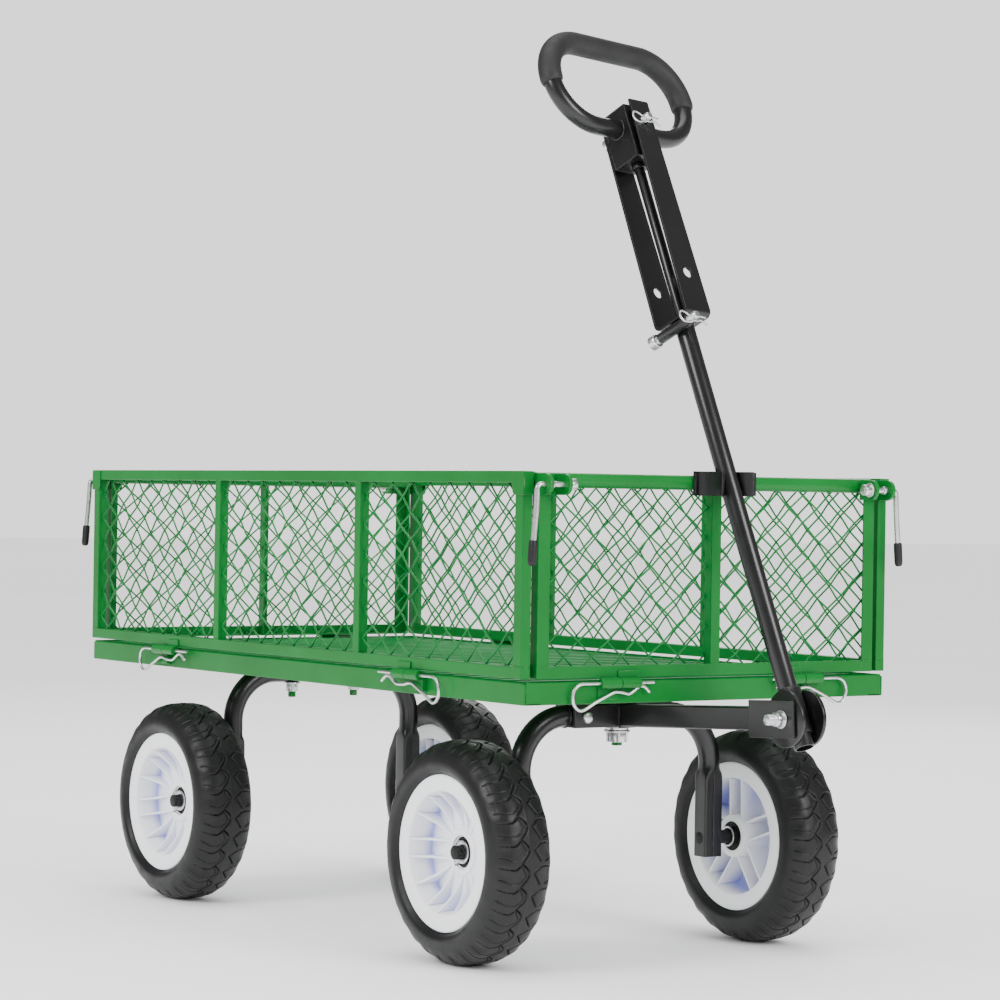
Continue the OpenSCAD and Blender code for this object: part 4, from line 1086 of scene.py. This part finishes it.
def foam_sleeve():
    """Foam over the top of the loop, down to just past its sides, thinner at the cut ends."""
    top = [(0, LOOP_Y - 2 * LOOP_Y * i / 8, LOOP_Z + LOOP_R) for i in range(1, 8)]
    pts = loop_arc(1, -8, 98, 30) + top + loop_arc(-1, 90, 98, 30)
    radii = [11.6, 13.1] + [13.5] * (len(pts) - 4) + [13.1, 11.6]
    return Shape().tube(pts, radii, 48, m=HEAD)


piece("pole_bar", pole(), BLACK, "handle", ["pole_tube"], sharp=50)
piece("socket_cheeks", socket(), BLACK, "handle", ["pivot_socket"], sharp=45)
yoke_strap()
piece("yoke_sleeve", yoke_sleeve(), BLACK, "handle", sharp=60)
pin_bars, pin_clips = pins_and_clips()
piece("clevis_pins", pin_bars, ZINC, "handle", ["hitch_pins"], sharp=45)
piece("spring_clips", pin_clips, ZINC, "handle", ["hitch_clips"], sharp=60)
piece("slide_bar", slide_rod(), BLACK, "handle", ["slide_rod"], sharp=50)
piece("handle_block_box", handle_block(), BLACK, "handle", ["handle_block"], bevel=0.9)
piece("loop_bar", loop_bar(), BLACK, "handle", ["loop_tube"], sharp=60)
foam = piece("foam_sleeve", foam_sleeve(), FOAM, "handle", ["foam_grip"], sharp=70)

# ------------------------------------------------------------------ wheels
# Local frame: z along the axle towards the cart's right, r from the axle.
N_PITCH, PER = 30, 34              # pitches of the tread, and mesh columns in each
TYRE_R = WHEEL_R
TYRE_PROFILE = ((89, 34.5), (91.5, 36.2), (93.2, 38.4), (96, 39.6), (99, 40), (103, 39.7), (108, 38.4),
                (112.5, 36.2), (116.5, 33.4), (119.8, 30.3), (122.6, 26.6), (124.7, 22.4), (126.0, 17.6),
                (126.7, 12.0), (127, 0))
# grooves of one pitch: line (part of the pitch, mm across the tread), half width, depth
GROOVES = (
    (((0.0, 10.8), (0.10, 8.6), (0.28, 4.4), (0.42, 2.0), (0.56, 1.0), (0.70, 1.8), (0.84, 5.4), (1.0, 10.8)),
     1.0, 2.9),
    (((0.27, 37.0), (0.23, 31.0), (0.15, 25.0), (0.14, 15.5), (0.28, 9.6), (0.53, 5.0)), 0.6, 1.7),
    (((0.53, 5.0), (0.94, 11.6)), 0.65, 1.9),
    (((0.94, 11.6), (0.80, 15.6), (0.72, 19.5), (0.73, 24.0)), 1.0, 2.7),
    (((0.73, 24.0), (0.76, 30.0), (0.80, 38.0)), 0.6, 1.6),
    (((0.08, -14.5), (0.55, -6.0), (0.84, -15.2)), 1.0, 2.8),
    (((0.84, -15.2), (0.87, -22.0), (0.84, -28.0), (0.80, -37.0)), 0.7, 2.0),
    (((0.10, -21.0), (0.14, -25.0), (0.20, -30.0), (0.25, -37.0)), 0.6, 1.6),
)


def polyline_dist(px, py, line):
    best = np.full(px.shape, 1e9)
    for (x0, y0), (x1, y1) in zip(line[:-1], line[1:]):
        dx, dy = x1 - x0, y1 - y0
        t = np.clip(((px - x0) * dx + (py - y0) * dy) / (dx * dx + dy * dy), 0, 1)
        best = np.minimum(best, np.hypot(px - x0 - t * dx, py - y0 - t * dy))
    return best


def tyre_section():
    """Smooth cross-section from one bead over the tread to the other, as r and z."""
    half = []
    for (r0, w0), (r1, w1) in zip(TYRE_PROFILE[:-1], TYRE_PROFILE[1:]):
        n = max(1, int(round(math.hypot(r1 - r0, w1 - w0) / (1.0 if r1 > 96 else 1.6))))
        half += [(r0 + (r1 - r0) * i / n, w0 + (w1 - w0) * i / n) for i in range(n)]
    half = np.array(half + [(TYRE_R, 0.0)])
    for _ in range(2):
        half[1:-1] = (half[:-2] + 2 * half[1:-1] + half[2:]) / 4
    full = np.vstack([half, (half * [1, -1])[::-1][1:]])
    return full[:, 0], full[:, 1], len(half) - 1


def tyre_mesh():
    """Tyre as a height field: each point is sunk by its distance to the groove lines."""
    r, w, middle = tyre_section()
    # arc length across the tread from its middle, positive on the near side
    arc = np.concatenate([[0], np.cumsum(np.hypot(np.diff(r), np.diff(w)))])
    arc = arc[middle] - arc
    pitch = 2 * math.pi * TYRE_R / N_PITCH
    cols = N_PITCH * PER
    along, over = np.meshgrid((np.arange(cols) % PER) / PER * pitch, arc, indexing="ij")
    groove = np.zeros_like(along)
    for line, width, deep in GROOVES:
        for k in (-1, 0, 1):
            d = polyline_dist(along, over, [(x * pitch + k * pitch, y) for x, y in line])
            c = np.clip(1.25 - d / width, 0, 1)
            groove = np.maximum(groove, deep * c * c * (3 - 2 * c))
    # the blocks are lower between their middles on the shoulders
    shoulder = np.clip((np.abs(over) - 12) / 16, 0, 1) * np.clip((44 - np.abs(over)) / 10, 0, 1)
    depth = groove + shoulder * 1.1 * (0.5 - 0.5 * np.cos(2 * math.pi * (along / pitch - 0.98)))
    # fine mould line round the middle
    depth = depth - 0.25 * np.clip(1 - np.abs(over + 0.2) / 0.7, 0, 1)
    # sink along the surface normals of the section
    tr, tw = np.gradient(r), np.gradient(w)
    ln = np.hypot(tr, tw)
    radius = r[None, :] - depth * (-tw / ln)[None, :]
    width = w[None, :] - depth * (tr / ln)[None, :]
    ang = 2 * math.pi * np.arange(cols) / cols
    verts = np.stack([radius * np.cos(ang)[:, None], radius * np.sin(ang)[:, None], width], -1).reshape(-1, 3)
    k = len(r)
    i, j = np.arange(cols)[:, None], np.arange(k - 1)[None, :]
    a, b = i * k + j, ((i + 1) % cols) * k + j
    faces = np.stack([a, a + 1, b + 1, b], -1).reshape(-1, 4)
    # outward faces: one is checked against the wheel's centre
    c = verts[faces[len(faces) // 2]]
    if np.dot(np.cross(c[1] - c[0], c[2] - c[0]), c.mean(0) * [1, 1, 0]) < 0:
        faces = faces[:, ::-1]
    # the third value is painted shade for the grooves, from their depth
    return verts, faces, np.clip(groove / 1.5, 0, 1).reshape(-1)


RIM_R, HUB_R, RIB_T = 68.4, 25.0, 1.1      # inside of the rim's wall, outside of its hub, half a rib's thickness
PAIR_OFF, INNER_OFF = 10.0, 10.8           # half the gap of a pair of ribs, outside and inside


def rim_rib(s, turn, off, inner):
    """Straight rib from the wall to the hub, off to one side of the radius."""
    m = Matrix.Rotation(math.radians(turn), 4, "Z") @ axes((0, off, 0), *UPRIGHT)
    r0, r1 = math.sqrt(RIM_R ** 2 - off * off), math.sqrt(HUB_R ** 2 - off * off)
    if inner:
        s.prism([(r0, -30.0), (r1, -29.0), (r1, 1.6), (r0 - 2.2, 1.6)], -RIB_T, RIB_T, m)
        return
    top = [(r0 + (r1 - r0) * i / 14, 6.4 + 25.6 * (1 - i / 14) ** 1.9) for i in range(15)]
    s.prism((top + [(r1, 3.0), (r0 - 2.2, 3.0)])[::-1], -RIB_T, RIB_T, m)


def rim_shape():
    """Rim with its outer side at +z: wall, web and hub, and ribs on both sides of the web."""
    wall_out = [(88.6, 30), (88.6, 33.6), (87.6, 34.6), (86, 34.9), (72, 34.3), (70.2, 33.6), (69.4, 32.2),
                (68.6, 24), (67.6, 14), (67.2, 9), (66.6, 6.0), (65.4, 4.7)]
    web_out = [(62, 4.2), (56, 4.1), (45, 4.2), (30, 5.0), (27.4, 5.8), (26.4, 7.6)]
    hub = [(25.4, 8.2), (19.6, 8.2), (18.8, 7.6), (18.6, 5.0), (17.6, 4.6), (17.6, -35), (24.2, -35),
           (25.2, -34.2), (26.2, -10)]
    web_in = [(28, 0.6), (45, 0.9), (62, 0.8), (65.4, -1.5)]
    wall_in = [(66.8, -6), (68.8, -24), (69.4, -32), (70.2, -33.6), (72, -34.3), (86, -34.9), (87.6, -34.6),
               (88.6, -33.6), (88.6, -30)]
    s = Shape().lathe((wall_out + web_out + hub + web_in + wall_in)[::-1], 144, closed=True)
    for k in range(5):
        rim_rib(s, 180 + 72 * k, PAIR_OFF, False)
        rim_rib(s, 180 + 72 * k, -PAIR_OFF, False)
        rim_rib(s, 216 + 72 * k, 0.0, False)
    for k in range(5):
        rim_rib(s, 72 * k, INNER_OFF, True)
        rim_rib(s, 72 * k, -INNER_OFF, True)
    return s


def painted_corner_shade(p):
    """Painted cool blue shade in the corners between the rim's wall and its web, and over the inner side of the web.
    """
    r = math.hypot(p[0], p[1])
    if p[2] > 2.5:
        return 0.8 * max(0.0, 1 - abs(r - 65.6) / 6.0) * max(0.0, 1 - abs(p[2] - 5.0) / 7.0)
    if p[2] > -8 and 27 < r < 68:
        return 0.22 + 0.45 * max(0.0, 1 - abs(r - 64.0) / 26.0)
    return 0.0


def bearings(m):
    """Ring at each end of the hub, with a groove on both faces."""
    s = Shape()
    for z0, z1 in ((-35.0, -24.0), (-6.5, 4.5)):
        near = [(8.05, z0 + 0.4), (10.2, z0), (10.6, z0 + 1.0), (14.6, z0 + 1.0), (15.0, z0), (17.2, z0),
                (17.5, z0 + 0.4)]
        far = [(17.5, z1 - 0.4), (17.2, z1), (15.0, z1), (14.6, z1 - 1.0), (10.6, z1 - 1.0), (10.2, z1),
               (8.05, z1 - 0.4)]
        s.lathe(near + far, 56, m, closed=True)
    return s


def vertex_values(mesh, name, values):
    mesh.attributes.new(name, "FLOAT", "POINT").data.foreach_set("value", values)


tread_v, tread_f, tread_painted_shade = tyre_mesh()
rim = rim_shape()
rim_painted_shade = [painted_corner_shade(p) for p in rim.v]
TURNS = {"front_left": 18.0, "front_right": 0.0, "rear_left": 24.0, "rear_right": 12.0}   # as parked, degrees
for name, turn in TURNS.items():
    body = name + "_wheel"
    centre = JOINT_AT[name + "_spin"]
    # z towards -Y on every wheel, so that all treads point the same way
    m = axes(centre, *UPRIGHT) @ Matrix.Rotation(math.radians(turn), 4, "Z")
    mesh = bpy.data.meshes.new(name + "_tyre_skin")
    placed = np.c_[tread_v, np.ones(len(tread_v))] @ np.array(m).T
    mesh.from_pydata((placed[:, :3] * MM).tolist(), [], tread_f.tolist())
    mesh.polygons.foreach_set("use_smooth", [True] * len(mesh.polygons))
    mesh.materials.append(TYRE)
    # painted shade for the grooves goes into the groove attribute
    vertex_values(mesh, "groove", tread_painted_shade.astype(np.float32))
    piece(name + "_tyre_tread", None, TYRE, body, [name + "_tyre"], mesh=mesh)
    # the rim's outer side is always on the outside of the cart
    face = m if centre.y < 0 else m @ Matrix.Rotation(math.pi, 4, "X")
    cast = piece(name + "_rim_cast", Shape().join(rim, face), RIM, body, [name + "_rim"], sharp=42)
    # the deep attribute carries the painted blue shade
    vertex_values(cast.data, "deep", rim_painted_shade)
    piece(name + "_bearing_rings", bearings(face), MATTE, body, [name + "_bearings"], sharp=35)


# ------------------------------------------------------------------ floor and light
def studio_floor():
    mesh = bpy.data.meshes.new("floor")
    mesh.from_pydata([(-30, -30, 0), (30, -30, 0), (30, 30, 0), (-30, 30, 0)], [], [(0, 1, 2, 3)])
    m = Nodes("floor_pale")
    tone = m.mix(m.ramp(m.noise(0.8, 3.0), 0.4, 0.6, 0.0, 1.0), (0.90, 0.90, 0.90), (0.92, 0.92, 0.92))
    m.link(tone, m.bsdf.inputs["Base Color"])
    set_in(m.bsdf, Roughness=0.85, Specular_IOR_Level=0.1)
    mesh.materials.append(m.mat)
    o = bpy.data.objects.new("floor", mesh)
    bpy.context.scene.collection.objects.link(o)
    return o


def studio_world(strength, glossy):
    """White surroundings, dimmer where glossy surfaces reflect them, so that black paint stays black."""
    world = bpy.data.worlds.new("studio")
    world.use_nodes = True
    t = world.node_tree
    bg = t.nodes["Background"]
    ray = t.nodes.new("ShaderNodeLightPath")
    dim = t.nodes.new("ShaderNodeMapRange")
    dim.inputs["To Min"].default_value = strength
    dim.inputs["To Max"].default_value = glossy
    t.links.new(ray.outputs["Is Glossy Ray"], dim.inputs["Value"])
    t.links.new(dim.outputs["Result"], bg.inputs["Strength"])
    bg.inputs["Color"].default_value = (1.0, 1.0, 1.0, 1.0)
    bpy.context.scene.world = world


def area(name, loc, target, size, power):
    """Square soft light that points at target; metres and watts."""
    d = bpy.data.lights.new(name, "AREA")
    d.energy = power
    d.shape = "SQUARE"
    d.size = size
    o = bpy.data.objects.new(name, d)
    o.location = loc
    o.rotation_euler = (Vector(target) - Vector(loc)).to_track_quat("-Z", "Y").to_euler()
    bpy.context.scene.collection.objects.link(o)


studio_floor()
studio_world(1.6, 0.3)
area("key", (0.6, -3.4, 2.6), (0, 0, 0.4), 1.6, 95)
area("front", (3.6, 0.6, 2.0), (0.3, 0, 0.4), 1.4, 80)
area("back", (-2.4, 2.6, 2.4), (0, 0, 0.4), 1.6, 40)
area("top", (0, 0, 3.4), (0, 0, 0), 2.2, 45)
